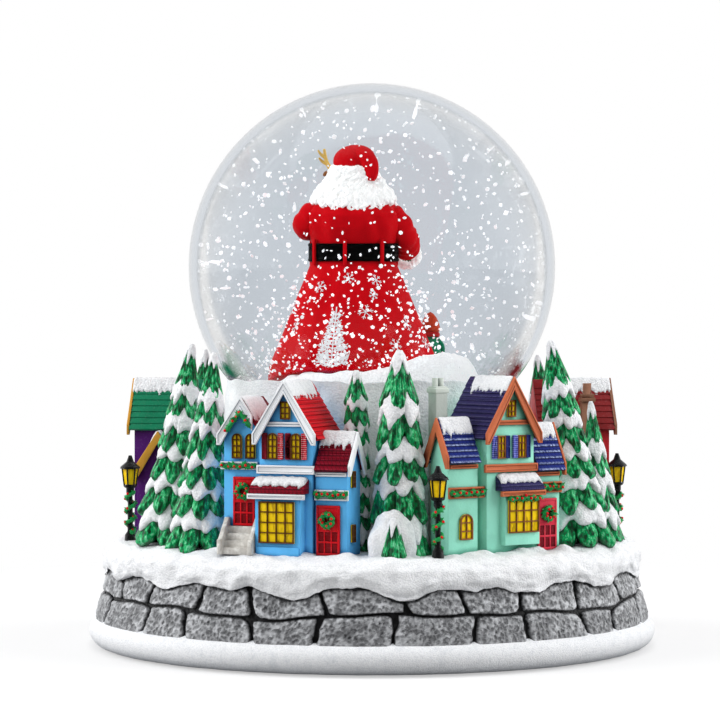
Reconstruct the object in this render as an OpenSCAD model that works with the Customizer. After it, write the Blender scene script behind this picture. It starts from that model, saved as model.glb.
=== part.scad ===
// Musical snow globe: a water-filled glass ball on a stone-faced drum, ringed by a painted village.
// Millimetres, +Z up. The origin is on the table under the middle of the base, and -Y faces the blue
// and mint houses.

/* [Glass ball] */
// Outside diameter of the ball
globe_d = 120; // [110:1:128]
// Wall of the glass
glass_wall = 2.5; // [1.5:0.1:4]
// Outside diameter of the neck
neck_d = 68; // [62:1:72]
// Length of the neck below the ball
neck_len = 12; // [8:0.5:15]
// Thickness of the stopper's flange under the neck
flange_t = 3; // [2:0.25:4]

/* [Base drum] */
// Radius of the stone facing at its foot
stone_foot_r = 90.5; // [86:0.5:96]
// How far the stone facing leans in from foot to top
stone_lean = 5.5; // [2:0.5:8]
// How far the stones stand out of the mortar
stone_proud = 1.2; // [0.6:0.1:2]
// Width of the mortar joints
joint_w = 1.1; // [0.6:0.1:1.8]
// Height of the snow roll round the foot
rim_h = 8.4; // [7:0.2:10]
// How far the snow roll stands out past the stones
rim_proud = 2; // [1:0.25:3]
// Height of the drum's deck
deck_z = 28.5; // [26:0.5:31]
// Thickness of the deck
deck_t = 4; // [3:0.5:6]
// Depth of the snow on the deck
snow_depth = 6; // [4.5:0.5:8]
// Thickness of the drum's wall
drum_wall = 10; // [8:0.5:12]
// Thickness of the felt ring under the base
felt_t = 1.5; // [1:0.25:2.5]
// Width of the felt ring
felt_w = 19; // [12:0.5:22]
// Thickness of the bottom cover
cover_t = 2.5; // [2:0.25:3.5]

/* [Collar] */
// Outside radius of the collar where it meets the ball
collar_top_r = 46.5; // [44:0.5:48]
// Outside radius of the collar at the deck
collar_foot_r = 51; // [48:0.5:51.5]
// Height of the collar's top edge
collar_top_z = 85; // [82:0.5:88]
// Bore of the collar below the ball, as a radius
collar_bore_r = 41; // [39:0.5:42.5]

/* [Winding movement] */
// Radius of the well that the winding key hangs in
well_r = 24; // [22:0.5:27]
// Depth of the well above the bottom cover's underside
well_depth = 14; // [13:0.5:16]
// Radius of the winding arbor
arbor_r = 1.5; // [1.2:0.1:1.8]
// Span of the winding key
key_span = 24; // [20:1:30]
// Radius of the spring barrel
barrel_r = 12.5; // [11:0.5:13.5]
// Height of the spring barrel
barrel_h = 9; // [7:0.5:11]
// Radius of the tune cylinder
tune_r = 6.2; // [5.6:0.1:6.4]
// Length of the tune cylinder
tune_len = 19; // [16:0.5:22]
// Notes on the comb
note_count = 18; // [12:1:20]

/* [Village] */
// How far the house fronts stand in from the foot of the stones
front_set = 17.5; // [16:0.25:19]
// Thickness of the roof boards
roof_t = 0.9; // [0.6:0.1:1.4]
// Overhang of the roofs
eave_over = 1.4; // [0.8:0.1:2]
// Thickness of the trim boards
trim_t = 0.9; // [0.6:0.1:1.4]
// Height of a lamp post without its lantern
post_h = 17; // [14:0.5:20]
// Height of the tallest pine
pine_h = 62; // [54:1:66]
// Radius of the tallest pine at its foot
pine_r = 9; // [6:0.5:9.5]

/* [Figure] */
// Height of the figure from hem to hat
figure_h = 56; // [50:1:58]
// Radius of the robe at its hem
hem_r = 21; // [18:0.5:23]

/* [Hidden] */
$fn = 96;

// Clearance between pieces that are glued or set together
fit = 0.1;
// Running clearance of a shaft in its hole
run = 0.05;
// Clearance between the village and the ball
ball_gap = 1.5;

globe_r = globe_d / 2;
neck_r = neck_d / 2;
neck_bore = neck_r - glass_wall;
ground_z = deck_z + snow_depth;
globe_z = collar_top_z + sqrt(pow(globe_r + fit, 2) - pow(collar_top_r, 2));
neck_top = globe_z - sqrt(pow(globe_r, 2) - pow(neck_r, 2));
neck_z = neck_top - neck_len;
flange_r = neck_r + 2;
flange_z = neck_z - flange_t - fit;
plug_h = neck_len - 1;
mound_z = neck_z + plug_h;
mound_r = neck_bore - 1.5;
hem_z = globe_z - figure_h * 0.464;

rim_lift = 0.3;
rim_tube = (rim_h - rim_lift) / 2;
foot_r = stone_foot_r + rim_proud - 2 * rim_tube + 1.8;
cover_z = felt_t;
cover_top = cover_z + cover_t;
cavity_r = foot_r - drum_wall;
// Ledge that the bottom cover seats on
ledge_w = 3;
cover_r = cavity_r + ledge_w;
boss_r = 4.5;
boss_ring = cavity_r - boss_r - 3.5;
felt_r = cover_r - 1.5;
// Flat ground out to the start of the snow's fall, and the ring that the house fronts stand on
plateau_r = stone_foot_r - 8;
front_r = stone_foot_r - front_set;
screw_r = 1.5;
course_top = deck_z - 2;
course_mid = (rim_h + course_top) / 2;

key_x = -10;
key_y = 3;
well_wall = 2;
well_under = cover_z + well_depth;
well_floor_t = 2.5;
well_top = well_under + well_floor_t;

// Ball radius at a given height
function ball_r(z) = sqrt(max(0, pow(globe_r, 2) - pow(globe_z - z, 2)));
// Radius of the mortar face behind the stones at a given height
function mortar_r(z) = stone_foot_r - stone_proud - stone_lean * (z - rim_h) / (deck_z - rim_h);
// Azimuth of a place that lies a given arc along the village ring, from the middle of the front
function azimuth(arc) = arc / front_r * 180 / PI;
// A point between two others
function between(a, b, t) = a + (b - a) * t;

// Skins
// Triangles that join rings of equal length into one surface, with flat caps at both ends
function skin_faces(rings, n) = concat(
    [for (i = [0:rings - 2], j = [0:n - 1]) let (k = (j + 1) % n)
        each [[i * n + j, (i + 1) * n + j, (i + 1) * n + k], [i * n + j, (i + 1) * n + k, i * n + k]]],
    [[for (j = [0:n - 1]) j], [for (j = [n - 1:-1:0]) (rings - 1) * n + j]]);
// The same for sections that close into a hoop
function hoop_faces(rings, n) =
    [for (i = [0:rings - 1], j = [0:n - 1]) let (h = (i + 1) % rings, k = (j + 1) % n)
        each [[i * n + j, i * n + k, h * n + k], [i * n + j, h * n + k, h * n + j]]];

// A rod between two points with domed ends, turned in one piece
module limb(a, b, ra, rb) {
    d = b - a;
    len = norm(d);
    translate(a) rotate([0, acos(d[2] / len), atan2(d[1], d[0])]) rotate_extrude() polygon([
        [0, -ra * 0.96], [ra * 0.34, -ra * 0.96], [ra * 0.8, -ra * 0.62], [ra, 0],
        [rb, len], [rb * 0.8, len + rb * 0.62], [rb * 0.34, len + rb * 0.96], [0, len + rb * 0.96]
    ]);
}

// Glass ball and what is sealed in it
module glass_globe() color([0.88, 0.93, 0.95, 0.3]) difference() {
    union() {
        translate([0, 0, globe_z]) sphere(r = globe_r);
        translate([0, 0, neck_z]) cylinder(r = neck_r, h = globe_z - neck_z);
    }
    translate([0, 0, globe_z]) sphere(r = globe_r - glass_wall);
    translate([0, 0, neck_z - 1]) cylinder(r = neck_bore, h = globe_z - neck_z + 1);
}

// Flakes on a sunflower spiral that climbs through the water outside the figure
flake_count = 64;
golden_turn = 137.508;
module snow_flakes() color("white") for (i = [0:flake_count - 1]) let (
    t = (i + 0.5) / flake_count,
    z = globe_z + between(-0.25, 0.8, t) * globe_r,
    reach = min(sqrt(pow(globe_r - glass_wall - 4, 2) - pow(z - globe_z, 2)), globe_r * 0.78)
) rotate([0, 0, i * golden_turn]) translate([between(29, reach, (i % 5) / 5), 0, z])
    rotate([35 * (i % 3), 25 * (i % 4), 0]) cube([1.3, 1, 0.25], center = true);

module stopper() color([0.16, 0.16, 0.17]) rotate_extrude() polygon([
    [0, flange_z], [flange_r, flange_z], [flange_r, neck_z - fit], [neck_bore - 2, neck_z - fit],
    [neck_bore - 2, neck_z + 1], [neck_bore - fit, neck_z + 3], [neck_bore - 1, neck_z + 5],
    [neck_bore - fit, neck_z + 7], [neck_bore - 1.2, neck_z + plug_h], [0, neck_z + plug_h]
]);

// The figure's axis, and the doll that stands behind its hem
figure_x = -4.5;
figure_y = 1;
doll_way = 44;
doll_z = hem_z + 3.2;
doll_off = hem_r + 3.9;
doll_at = [figure_x + doll_off * cos(doll_way), figure_y + doll_off * sin(doll_way)];
// Mound of snow on the stopper, hollowed at its edge, with a drift under the doll
hem_drop = figure_h * 0.05;
mound_top = hem_z - hem_drop;
module snow_mound() color("white") {
    difference() {
        rotate_extrude() polygon([
            [0, mound_z + fit], [mound_r, mound_z + fit], [mound_r, mound_top - 9],
            [mound_r - 1.5, mound_top - 5],
            [mound_r - 5, mound_top - 2], [mound_r - 9, mound_top - fit], [0, mound_top - fit]
        ]);
        for (i = [0:6]) rotate([0, 0, i * 360 / 7 + 20]) translate([mound_r - 2, 0, mound_top + 1.5])
            sphere(r = 5);
    }
    difference() {
        translate([doll_at[0], doll_at[1], mound_top - 6])
            cylinder(r1 = 6.8, r2 = 4.2, h = doll_z - mound_top + 6 - fit);
        translate([figure_x, figure_y, mound_top - fit]) cylinder(r = hem_r + 0.7, h = 20);
    }
}

// Figure, seen from behind at the front of the village; it faces +Y
// Height on the figure, from 0 at the hem to 1 at the top of the hat
function body_z(t) = hem_z + figure_h * t;
waist_r = 10.4;
waist_t = 0.486;
belt_t = 0.085;
module at_figure() translate([figure_x, figure_y, 0]) children();

// Middle of the toy deer
deer_x = -3.3;
deer_y = 12.9;
// Each arm by its shoulder, elbow and wrist, heights as shares
arms = [
    [[-8.6, 0.2, 0.69], [-12.3, 1.6, 0.642], [-7.4, 11.6, 0.68]],
    [[8.8, 0.2, 0.685], [13.6, 1.8, 0.585], [10.4, 10.4, 0.548]]
];
function arm_point(arm, i) = [arm[i][0], arm[i][1], body_z(arm[i][2])];
function arm_way(arm) = let (d = arm_point(arm, 2) - arm_point(arm, 1)) d / norm(d);
module along_arm(arm, far) let (d = arm_way(arm)) translate(arm_point(arm, 2) + d * far)
    rotate([0, acos(d[2]), atan2(d[1], d[0])]) children();
module sleeves(grow = 0) for (arm = arms) {
    limb(arm_point(arm, 0), arm_point(arm, 1), 4.2 + grow, 3.6 + grow);
    limb(arm_point(arm, 1) + [0, 0.25, 0], arm_point(arm, 2), 3.2 + grow, 2.9 + grow);
}

module santa_robe() color([0.78, 0.03, 0.05]) at_figure() {
    rotate_extrude() polygon([
        [0, mound_top], [hem_r + 0.5, mound_top], [hem_r - 0.3, body_z(0.04)], [hem_r * 0.84, body_z(0.17)],
        [hem_r * 0.67, body_z(0.33)], [waist_r, body_z(waist_t)], [waist_r, body_z(waist_t + belt_t)],
        [waist_r + 1.3, body_z(0.64)], [waist_r + 1.2, body_z(0.7)], [waist_r - 1.5, body_z(0.765)],
        [5, body_z(0.79)], [0, body_z(0.79)]
    ]);
    difference() {
        sleeves();
        translate([0, 0, body_z(waist_t)]) cylinder(r = waist_r + 0.9, h = figure_h * belt_t);
    }
    for (a = [-61, -13, 38]) rotate([0, 0, a]) difference() {
        translate([-0.7, -waist_r - 1.7, body_z(waist_t) - 0.8]) cube([1.4, 2.2, figure_h * belt_t + 1.6]);
        translate([0, 0, body_z(waist_t)]) cylinder(r = waist_r + 0.9, h = figure_h * belt_t);
    }
}

module santa_belt() color([0.05, 0.05, 0.05]) at_figure() difference() {
    translate([0, 0, body_z(waist_t) + fit]) cylinder(r = waist_r + 0.8, h = figure_h * belt_t - 2 * fit);
    translate([0, 0, body_z(waist_t)]) cylinder(r = waist_r + 0.05, h = figure_h * belt_t);
}

head_z = 0.845;
head_r = 4.6;
module santa_face() color([0.93, 0.72, 0.6]) at_figure() difference() {
    union() {
        translate([0, 1.2, body_z(head_z)]) sphere(r = head_r);
        translate([0, 5.9, body_z(head_z) + 0.2]) sphere(r = 0.9);
    }
    translate([0, 0, body_z(head_z + 0.055)]) cylinder(r = 9, h = 9);
    translate([0, -12.2, body_z(head_z) - 9]) cylinder(r = 12, h = 18);
    translate([0, 0, body_z(head_z - 0.055) - 9]) cylinder(r = 9, h = 9);
}

// Soft cap whose end folds over to the right
cap_t = 0.912;
module cap_tail(grow = 0) {
    limb([1.4, -1.2, body_z(0.942)], [4.3, -2.2, body_z(0.925)], 3.1 + grow, 2.5 + grow);
    limb([4.3, -2.2, body_z(0.925)], [5.2, -2.8, body_z(0.872)], 2.4 + grow, 1.3 + grow);
}
module cap_bobble(grow = 0) translate([6.4, -3.4, body_z(0.838)]) sphere(r = 1.5 + grow);
module santa_hat() color([0.8, 0.03, 0.06]) at_figure() difference() {
    union() {
        difference() {
            translate([0.2, 0.6, body_z(0.905)]) sphere(r = 5.2);
            translate([0, 0, body_z(cap_t) - 12]) cylinder(r = 12, h = 12);
        }
        cap_tail();
    }
    translate([0, 1.2, body_z(head_z)]) sphere(r = head_r + fit);
}

// Hair at the back and beard in front, round the face
module santa_hair() color([0.95, 0.95, 0.95]) at_figure() difference() {
    rotate_extrude() polygon([
        [0, body_z(0.795)], [5.2, body_z(0.795)], [9, body_z(0.772)], [10.8, body_z(0.76)],
        [11, body_z(0.77)],
        [9.6, body_z(0.815)], [7.4, body_z(0.865)], [6.2, body_z(cap_t) - fit], [0, body_z(cap_t) - fit]
    ]);
    translate([0, 1.2, body_z(head_z)]) sphere(r = head_r + fit);
    translate([0, 5.9, body_z(head_z) + 0.2]) sphere(r = 0.9 + fit);
    translate([-3.6, 4, body_z(head_z - 0.03)]) cube([7.2, 9, 9]);
    translate([deer_x, deer_y, body_z(0.7)]) cylinder(r = 2.9, h = 14);
    cap_tail(fit);
    cap_bobble(fit);
}

// Fur bobble on the cap and fur cuffs on the sleeves
module santa_fur() color("white") at_figure() {
    difference() {
        cap_bobble();
        cap_tail(fit);
    }
    for (arm = arms) along_arm(arm, 4) rotate_extrude() translate([1.8, 0]) circle(r = 1.1);
}

module santa_mittens() color([0.1, 0.35, 0.16]) at_figure() for (arm = arms)
    along_arm(arm, 7.05) limb([0, 0, 0], [0, 0, 0.95], 1.7, 1.8);

// Toys that the figure carries: a deer on one arm and a doll at the other side of the hem

module toy_reindeer() color([0.5, 0.3, 0.16]) at_figure() difference() {
    union() {
        limb([deer_x, deer_y, body_z(0.745)], [deer_x, deer_y, body_z(0.803)], 2.6, 1.7);
        limb([deer_x, deer_y, body_z(0.818)], [deer_x, deer_y + 3, body_z(0.803)], 1.9, 1.2);
    }
    sleeves(fit);
    along_arm(arms[0], 4) translate([0, 0, -1.3]) cylinder(r = 3, h = 2.6);
}
module toy_antlers() color([0.85, 0.66, 0.2]) at_figure() for (side = [-1, 1]) {
    root = [deer_x + side * 1.2, deer_y - 0.1, body_z(0.863)];
    fork = root + [side * 1.6, -0.6, 2.6];
    limb(root, fork, 0.5, 0.45);
    limb(fork, fork + [side * 0.5, -0.4, 3], 0.45, 0.3);
    limb(fork, fork + [side * 1.9, 0.3, 1.4], 0.4, 0.3);
}
module toy_doll() color([0.05, 0.5, 0.3]) translate([doll_at[0], doll_at[1], 0]) {
    translate([0, 0, doll_z]) cylinder(r1 = 3.4, r2 = 1.6, h = 7.5);
    translate([0, 0, doll_z + 8.6]) sphere(r = 2);
    translate([0, 0, doll_z + 9.6]) cylinder(r1 = 1.9, r2 = 0.4, h = 3.4);
}

// Water. Half outlines of the hollows that the mound and the figure take out of the water
room = 0.4;
mound_room = [
    [0, mound_z - 1], [mound_r + room, mound_z - 1], [mound_r + room, mound_top - 8.8],
    [mound_r - 1.5 + room, mound_top - 4.6], [mound_r - 5 + room, mound_top - 2 + room],
    [mound_r - 9 + room, mound_top + room], [0, mound_top + room]
];
figure_room = [
    [0, mound_top - 1], [hem_r + 1, mound_top - 1], [hem_r + 1, body_z(0.02)],
    [hem_r * 0.84 + 0.8, body_z(0.18)],
    [hem_r * 0.67 + 1.2, body_z(0.34)], [waist_r + 2.6, body_z(0.42)], [21.8, body_z(0.45)],
    [21.8, body_z(0.76)],
    [12.2, body_z(0.8)], [12.2, body_z(0.9)], [8.6, body_z(1) + 1], [0, body_z(1) + 1]
];
module water() color([0.85, 0.92, 0.96, 0.3]) difference() {
    translate([0, 0, globe_z]) sphere(r = globe_r - glass_wall - fit);
    translate([0, 0, neck_z - globe_r]) cylinder(r = globe_r, h = globe_r + plug_h + 3 * fit + neck_len);
    rotate_extrude() polygon(mound_room);
    at_figure() {
        rotate_extrude() polygon(figure_room);
        translate([deer_x, 12.2, body_z(0.66)]) cylinder(r = 7, h = figure_h * 0.36);
    }
    translate([doll_at[0], doll_at[1], mound_top - 7])
        cylinder(r1 = 7.4, r2 = 5, h = doll_z - mound_top + 7);
    translate([doll_at[0], doll_at[1], doll_z - 1]) cylinder(r = 3.8, h = 15);
}

// Drum
module base_casting() color([0.3, 0.31, 0.32]) difference() {
    union() {
        rotate_extrude() polygon([
            [cover_r + 0.3, felt_t - 0.3], [foot_r, felt_t - 0.3], [foot_r, rim_h + fit],
            [mortar_r(rim_h + fit), rim_h + fit], [mortar_r(deck_z), deck_z], [collar_bore_r, deck_z],
            [collar_bore_r, deck_z - deck_t], [cavity_r, deck_z - deck_t], [cavity_r, cover_top + fit],
            [cover_r + 0.3, cover_top + fit]
        ]);
        for (a = [45:90:315]) rotate([0, 0, a]) translate([boss_ring, 0, cover_top + fit])
            cylinder(r = boss_r, h = deck_z - deck_t - cover_top);
    }
    for (a = [45:90:315]) rotate([0, 0, a]) translate([boss_ring, 0, cover_top])
        cylinder(r = screw_r + fit, h = 12);
}

// Azimuths of the upright joints in each course, from the front, anticlockwise seen from above
upper_joints = [-65, -52, -37, -25, -10, 6, 18, 31, 46, 62, 77, 93, 111, 126, 143, 158, 176, 192, 207,
    224, 240, 257, 276];
lower_joints = [-71, -52, -40, -24, -11, 4, 20, 31.5, 47, 57, 72, 90, 104, 121, 135, 152, 168, 183, 199,
    214, 231, 247, 262, 277];
module stone_course(joints, low, high) {
    gap = joint_w / stone_foot_r * 180 / PI;
    n = len(joints);
    for (i = [0:n - 1]) let (end = i < n - 1 ? joints[i + 1] : joints[0] + 360)
        rotate([0, 0, joints[i] - 90 + gap / 2]) rotate_extrude(angle = end - joints[i] - gap) polygon([
            [mortar_r(low) + fit, low], [mortar_r(low) + stone_proud - 0.3, low],
            [mortar_r(low) + stone_proud, low + 0.5], [mortar_r(high) + stone_proud, high - 0.5],
            [mortar_r(high) + stone_proud - 0.3, high], [mortar_r(high) + fit, high]
        ]);
}
module upper_stones() color([0.55, 0.56, 0.57])
    stone_course(upper_joints, course_mid + joint_w / 2, course_top);
module lower_stones() color([0.5, 0.51, 0.52])
    stone_course(lower_joints, rim_h + 2 * fit, course_mid - joint_w / 2);

module snow_rim() color("white") difference() {
    translate([0, 0, rim_lift + rim_tube]) rotate_extrude()
        translate([stone_foot_r + rim_proud - rim_tube, 0]) circle(r = rim_tube);
    translate([0, 0, -1]) cylinder(r = foot_r + fit, h = rim_h + 2);
}

// Snow blanket: flat where the village stands, with a wavy lip that hangs over the stones
lip_steps = 120;
blanket_in = collar_foot_r + 1;
// Drips of the lip: azimuth, half width in degrees and how far it hangs
drips = [
    [-66, 9, 2.4], [-47, 9, 2.6], [-31, 7, 1.4], [-16.5, 9, 3.6], [6.3, 8, 4], [20, 7, 1.2],
    [33, 9, 2.6], [55, 10, 3],
    [78, 11, 2.6], [99, 10, 3.4], [121, 11, 2.2], [142, 10, 3.4], [166, 12, 2.6], [189, 10, 3.6],
    [211, 11, 2.4],
    [233, 10, 3.2], [254, 10, 2.4], [275, 9, 3.2]
];
function apart(a, b) = abs((a - b + 540) % 360 - 180);
function drip_at(a, d) = apart(a, d[0]) < d[1] ? d[2] * (0.5 + 0.5 * cos(180 * apart(a, d[0]) / d[1])) : 0;
function lip_low(a) = deck_z - 2.4 - max([for (d = drips) drip_at(a, d)]);
function stone_face(z) = mortar_r(z) + stone_proud + 3 * fit;
function blanket_section(a) = let (low = lip_low(a + 90), belly = 0.5 * sin(9 * a + 30)) [
    [blanket_in, deck_z + fit], [stone_face(deck_z) - 0.8, deck_z + fit],
    [stone_face(between(course_top, low, 0.4)), between(course_top, low, 0.4)], [stone_face(low), low],
    [stone_face(low) + 1.1, low + 0.3], [stone_foot_r - 2.6 + belly, low + 2.2],
    [stone_foot_r - 3.2 + belly, between(low, ground_z, 0.6)], [plateau_r + 1.6, ground_z - 1.1],
    [plateau_r, ground_z], [blanket_in, ground_z]
];
module snow_bank() color("white") {
    sections = [for (i = [0:lip_steps - 1]) let (a = i * 360 / lip_steps)
        [for (p = blanket_section(a)) [p[0] * cos(a), p[0] * sin(a), p[1]]]];
    polyhedron([for (s = sections) each s], hoop_faces(lip_steps, len(sections[0])), convexity = 6);
}

// Collar that holds the ball: a cup with a shelf under the stopper's flange
shelf_t = 3;
module globe_collar() color("white") difference() {
    rotate_extrude() polygon([
        [collar_bore_r, deck_z + fit], [collar_foot_r, deck_z + fit], [collar_top_r, collar_top_z],
        [collar_top_r, collar_top_z + 1], [flange_r + 0.3, collar_top_z + 1],
        [flange_r + 0.3, flange_z - fit],
        [neck_bore - 2, flange_z - fit], [neck_bore - 2, flange_z - fit - shelf_t],
        [collar_bore_r, flange_z - fit - shelf_t]
    ]);
    translate([0, 0, globe_z]) sphere(r = globe_r + fit);
}

// Underside
module at_key() translate([key_x, key_y, 0]) children();
bed_screws = [[-9, -9], [-9, 9], [6, -17]];

module bottom_cover() color([0.12, 0.12, 0.12]) difference() {
    union() {
        translate([0, 0, cover_z]) cylinder(r = cover_r, h = cover_t);
        at_key() translate([0, 0, cover_z]) cylinder(r = well_r + well_wall, h = well_depth + well_floor_t);
    }
    at_key() {
        translate([0, 0, cover_z - 1]) cylinder(r = well_r, h = well_depth + 1);
        translate([0, 0, well_under - 1]) cylinder(r = arbor_r + run, h = well_floor_t + 2);
        for (p = bed_screws) translate([p[0], p[1], well_under - 1])
            cylinder(r = 1.1, h = well_floor_t + 2);
    }
    for (a = [45:90:315]) rotate([0, 0, a]) translate([boss_ring, 0, cover_z]) {
        translate([0, 0, -1]) cylinder(r = screw_r + fit, h = cover_t + 2);
        cylinder(r1 = screw_r + 1.6, r2 = screw_r + fit, h = 1.6);
    }
}

module felt_ring() color([0.05, 0.25, 0.13]) difference() {
    cylinder(r = felt_r, h = felt_t - fit / 2);
    translate([0, 0, -1]) cylinder(r = felt_r - felt_w, h = felt_t + 2);
}

module cover_screws() color("silver") for (a = [45:90:315]) rotate([0, 0, a])
    translate([boss_ring, 0, cover_z]) {
    translate([0, 0, fit / 2]) cylinder(r1 = screw_r + 1.4, r2 = screw_r, h = 1.5);
    cylinder(r = screw_r, h = 11);
}

// Movement: heights are above the floor of the well
bed_t = 2;
wheel_z = bed_t + barrel_h + 0.4;
wheel_t = 1.4;
crown_r = 10;
crown_teeth = 30;
pinion_teeth = 12;
pinion_r = crown_r * pinion_teeth / crown_teeth;
tooth_h = 1.5;
tune_z = wheel_z + wheel_t + tooth_h / 2 + pinion_r;
tune_arbor_r = 1.1;
bearing_x = barrel_r + 0.5;
bearing_t = 1.2;
tune_x = bearing_x + bearing_t + 0.4;
end_x = tune_x + tune_len + 0.4;
pin_h = 0.6;
comb_y = -(tune_r + pin_h + 0.3);
comb_back = -22;
tooth_len = 8;
module at_movement() translate([key_x, key_y, well_top + fit / 2]) children();

module movement_bedplate() color([0.72, 0.72, 0.74]) at_movement() difference() {
    union() {
        cylinder(r = barrel_r + 1.5, h = bed_t);
        translate([0, comb_back, 0]) cube([end_x + bearing_t, -comb_back + 11, bed_t]);
        for (x = [bearing_x, end_x]) translate([x, -3, 0]) cube([bearing_t, 6, tune_z + 3]);
        translate([tune_x, comb_back, 0]) cube([tune_len, 6, tune_z - 0.6]);
    }
    translate([0, 0, -1]) cylinder(r = arbor_r + run, h = bed_t + 2);
    translate([0, 0, tune_z]) rotate([0, 90, 0]) cylinder(r = tune_arbor_r + run, h = 60);
    for (p = bed_screws) translate([p[0], p[1], -1]) cylinder(r = 1.1, h = bed_t + 2);
    for (t = [0.25, 0.75]) translate([tune_x + tune_len * t, comb_back + 2.5, tune_z - 6])
        cylinder(r = 0.9, h = 9);
}

module spring_barrel() color([0.8, 0.68, 0.35]) at_movement() difference() {
    translate([0, 0, bed_t + fit / 2]) cylinder(r = barrel_r, h = barrel_h - fit);
    translate([0, 0, bed_t + 1]) cylinder(r = barrel_r - 1, h = barrel_h - 2);
    cylinder(r = arbor_r + run, h = 40);
}

// Mainspring: a ribbon coiled from the arbor to the barrel wall
spring_turns = 4;
spring_steps = 24;
function coil_r(i) = between(arbor_r + 2.2, barrel_r - 1.7, i / (spring_turns * spring_steps));
function coil_at(i, off) = (coil_r(i) + off) * [cos(i * 360 / spring_steps), sin(i * 360 / spring_steps)];
module mainspring() color([0.35, 0.38, 0.45]) at_movement() translate([0, 0, bed_t + 1.4])
    linear_extrude(barrel_h - 2.8) polygon(concat(
        [for (i = [0:spring_turns * spring_steps]) coil_at(i, 0.2)],
        [for (i = [spring_turns * spring_steps:-1:0]) coil_at(i, -0.2)]));

module note_comb() color([0.82, 0.83, 0.86]) at_movement() difference() {
    pitch = tune_len / note_count;
    union() {
        translate([tune_x, comb_back, tune_z - 0.5]) cube([tune_len, comb_y - tooth_len - comb_back, 1.6]);
        for (i = [0:note_count - 1])
            translate([tune_x + (i + 0.12) * pitch, comb_y - tooth_len - 0.5, tune_z - 0.3])
            cube([pitch * 0.76, tooth_len + 0.5, 0.6]);
    }
    for (t = [0.25, 0.75]) translate([tune_x + tune_len * t, comb_back + 2.5, tune_z - 6])
        cylinder(r = 0.9, h = 9);
}

// Screws: two hold the comb, three hold the bedplate
module movement_screws() color("silver") at_movement() {
    for (t = [0.25, 0.75]) translate([tune_x + tune_len * t, comb_back + 2.5, tune_z - 4]) {
        cylinder(r = 0.8, h = 5.5);
        translate([0, 0, 5.2]) cylinder(r = 1.7, h = 1.1);
    }
    for (p = bed_screws) translate([p[0], p[1], -well_floor_t - fit]) {
        cylinder(r = 1, h = well_floor_t + bed_t);
        translate([0, 0, -1.2]) cylinder(r = 1.9, h = 1.2);
    }
}

module governor_housing() color([0.85, 0.85, 0.86]) at_movement() {
    translate([tune_x + 5, tune_r + pin_h + 1, bed_t + fit / 2]) cube([12, 3, 14]);
    translate([tune_x + 2, tune_r + pin_h + 1, bed_t + fit / 2]) cube([18, 3.2, 2]);
    translate([tune_x + 11, tune_r + pin_h + 2.5, bed_t + 14]) cylinder(r = 1.2, h = 3);
}

key_boss_h = 7;
arbor_drop = well_floor_t + key_boss_h;
module winding_arbor() color([0.75, 0.76, 0.78]) at_movement() {
    translate([0, 0, -arbor_drop]) cylinder(r = arbor_r, h = arbor_drop + wheel_z + wheel_t);
    translate([0, 0, wheel_z]) cylinder(r = crown_r + 1.5, h = wheel_t);
    for (i = [0:crown_teeth - 1]) rotate([0, 0, i * 360 / crown_teeth])
        translate([crown_r - 1.5, 0, wheel_z + wheel_t - 0.1]) rotate([90, 0, 90])
            linear_extrude(3) polygon([[-0.4, 0], [0.4, 0], [0.22, tooth_h], [-0.22, tooth_h]]);
}

key_boss_r = arbor_r + 1.9;
key_t = 1.8;
module winding_key() color([0.82, 0.7, 0.36]) at_key() {
    boss_z = well_under - 0.4 - key_boss_h;
    lobe_r = (well_depth - 4.4) / 2;
    difference() {
        union() {
            translate([0, 0, boss_z]) cylinder(r = key_boss_r, h = key_boss_h);
            translate([-key_span / 2 + lobe_r, -key_t / 2, boss_z - 1.6])
                cube([key_span - 2 * lobe_r, key_t, 6]);
            for (side = [-1, 1]) translate([side * (key_span / 2 - lobe_r), key_t / 2, boss_z + 1])
                rotate([90, 0, 0])
                cylinder(r = lobe_r, h = key_t);
        }
        translate([0, 0, boss_z - 0.2]) cylinder(r = arbor_r + 0.02, h = key_boss_h + 1);
        for (side = [-1, 1]) translate([side * (key_span / 2 - lobe_r), key_t, boss_z + 1])
            rotate([90, 0, 0])
            cylinder(r = lobe_r * 0.45, h = 2 * key_t);
    }
}

// Pins on the tune cylinder follow a scale pattern, two a note
module tune_cylinder() color([0.85, 0.72, 0.36]) at_movement() translate([tune_x, 0, tune_z])
    rotate([0, 90, 0]) {
    pitch = tune_len / note_count;
    difference() {
        cylinder(r = tune_r, h = tune_len);
        translate([0, 0, -1]) cylinder(r = tune_arbor_r + 0.02, h = tune_len + 2);
    }
    for (i = [0:note_count - 1], turn = [0, 1]) rotate([0, 0, i * 47 + turn * 163])
        translate([0, 0, (i + 0.5) * pitch])
        rotate([0, 90, 0]) translate([0, 0, tune_r - 0.2]) cylinder(r = 0.28, h = pin_h + 0.2, $fn = 16);
}

// Pinion flanks run straight from root to tip
pinion_root = pinion_r - 0.95;
pinion_tip = pinion_r + 0.5;
function pinion_at(r, a) = [r * cos(a), r * sin(a)];
module cylinder_arbor() color([0.75, 0.76, 0.78]) at_movement() translate([0, 0, tune_z])
    rotate([0, 90, 0]) {
    pitch = 360 / pinion_teeth;
    translate([0, 0, crown_r - 1.7]) cylinder(r = tune_arbor_r, h = end_x + bearing_t - crown_r + 2.2);
    translate([0, 0, crown_r - 1.2]) linear_extrude(2.4) polygon([for (i = [0:pinion_teeth - 1]) each [
        pinion_at(pinion_root, (i + 0.5) * pitch - pitch * 0.27),
            pinion_at(pinion_tip, (i + 0.5) * pitch - pitch * 0.1),
        pinion_at(pinion_tip, (i + 0.5) * pitch + pitch * 0.1),
            pinion_at(pinion_root, (i + 0.5) * pitch + pitch * 0.27)
    ]]);
}

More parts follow.
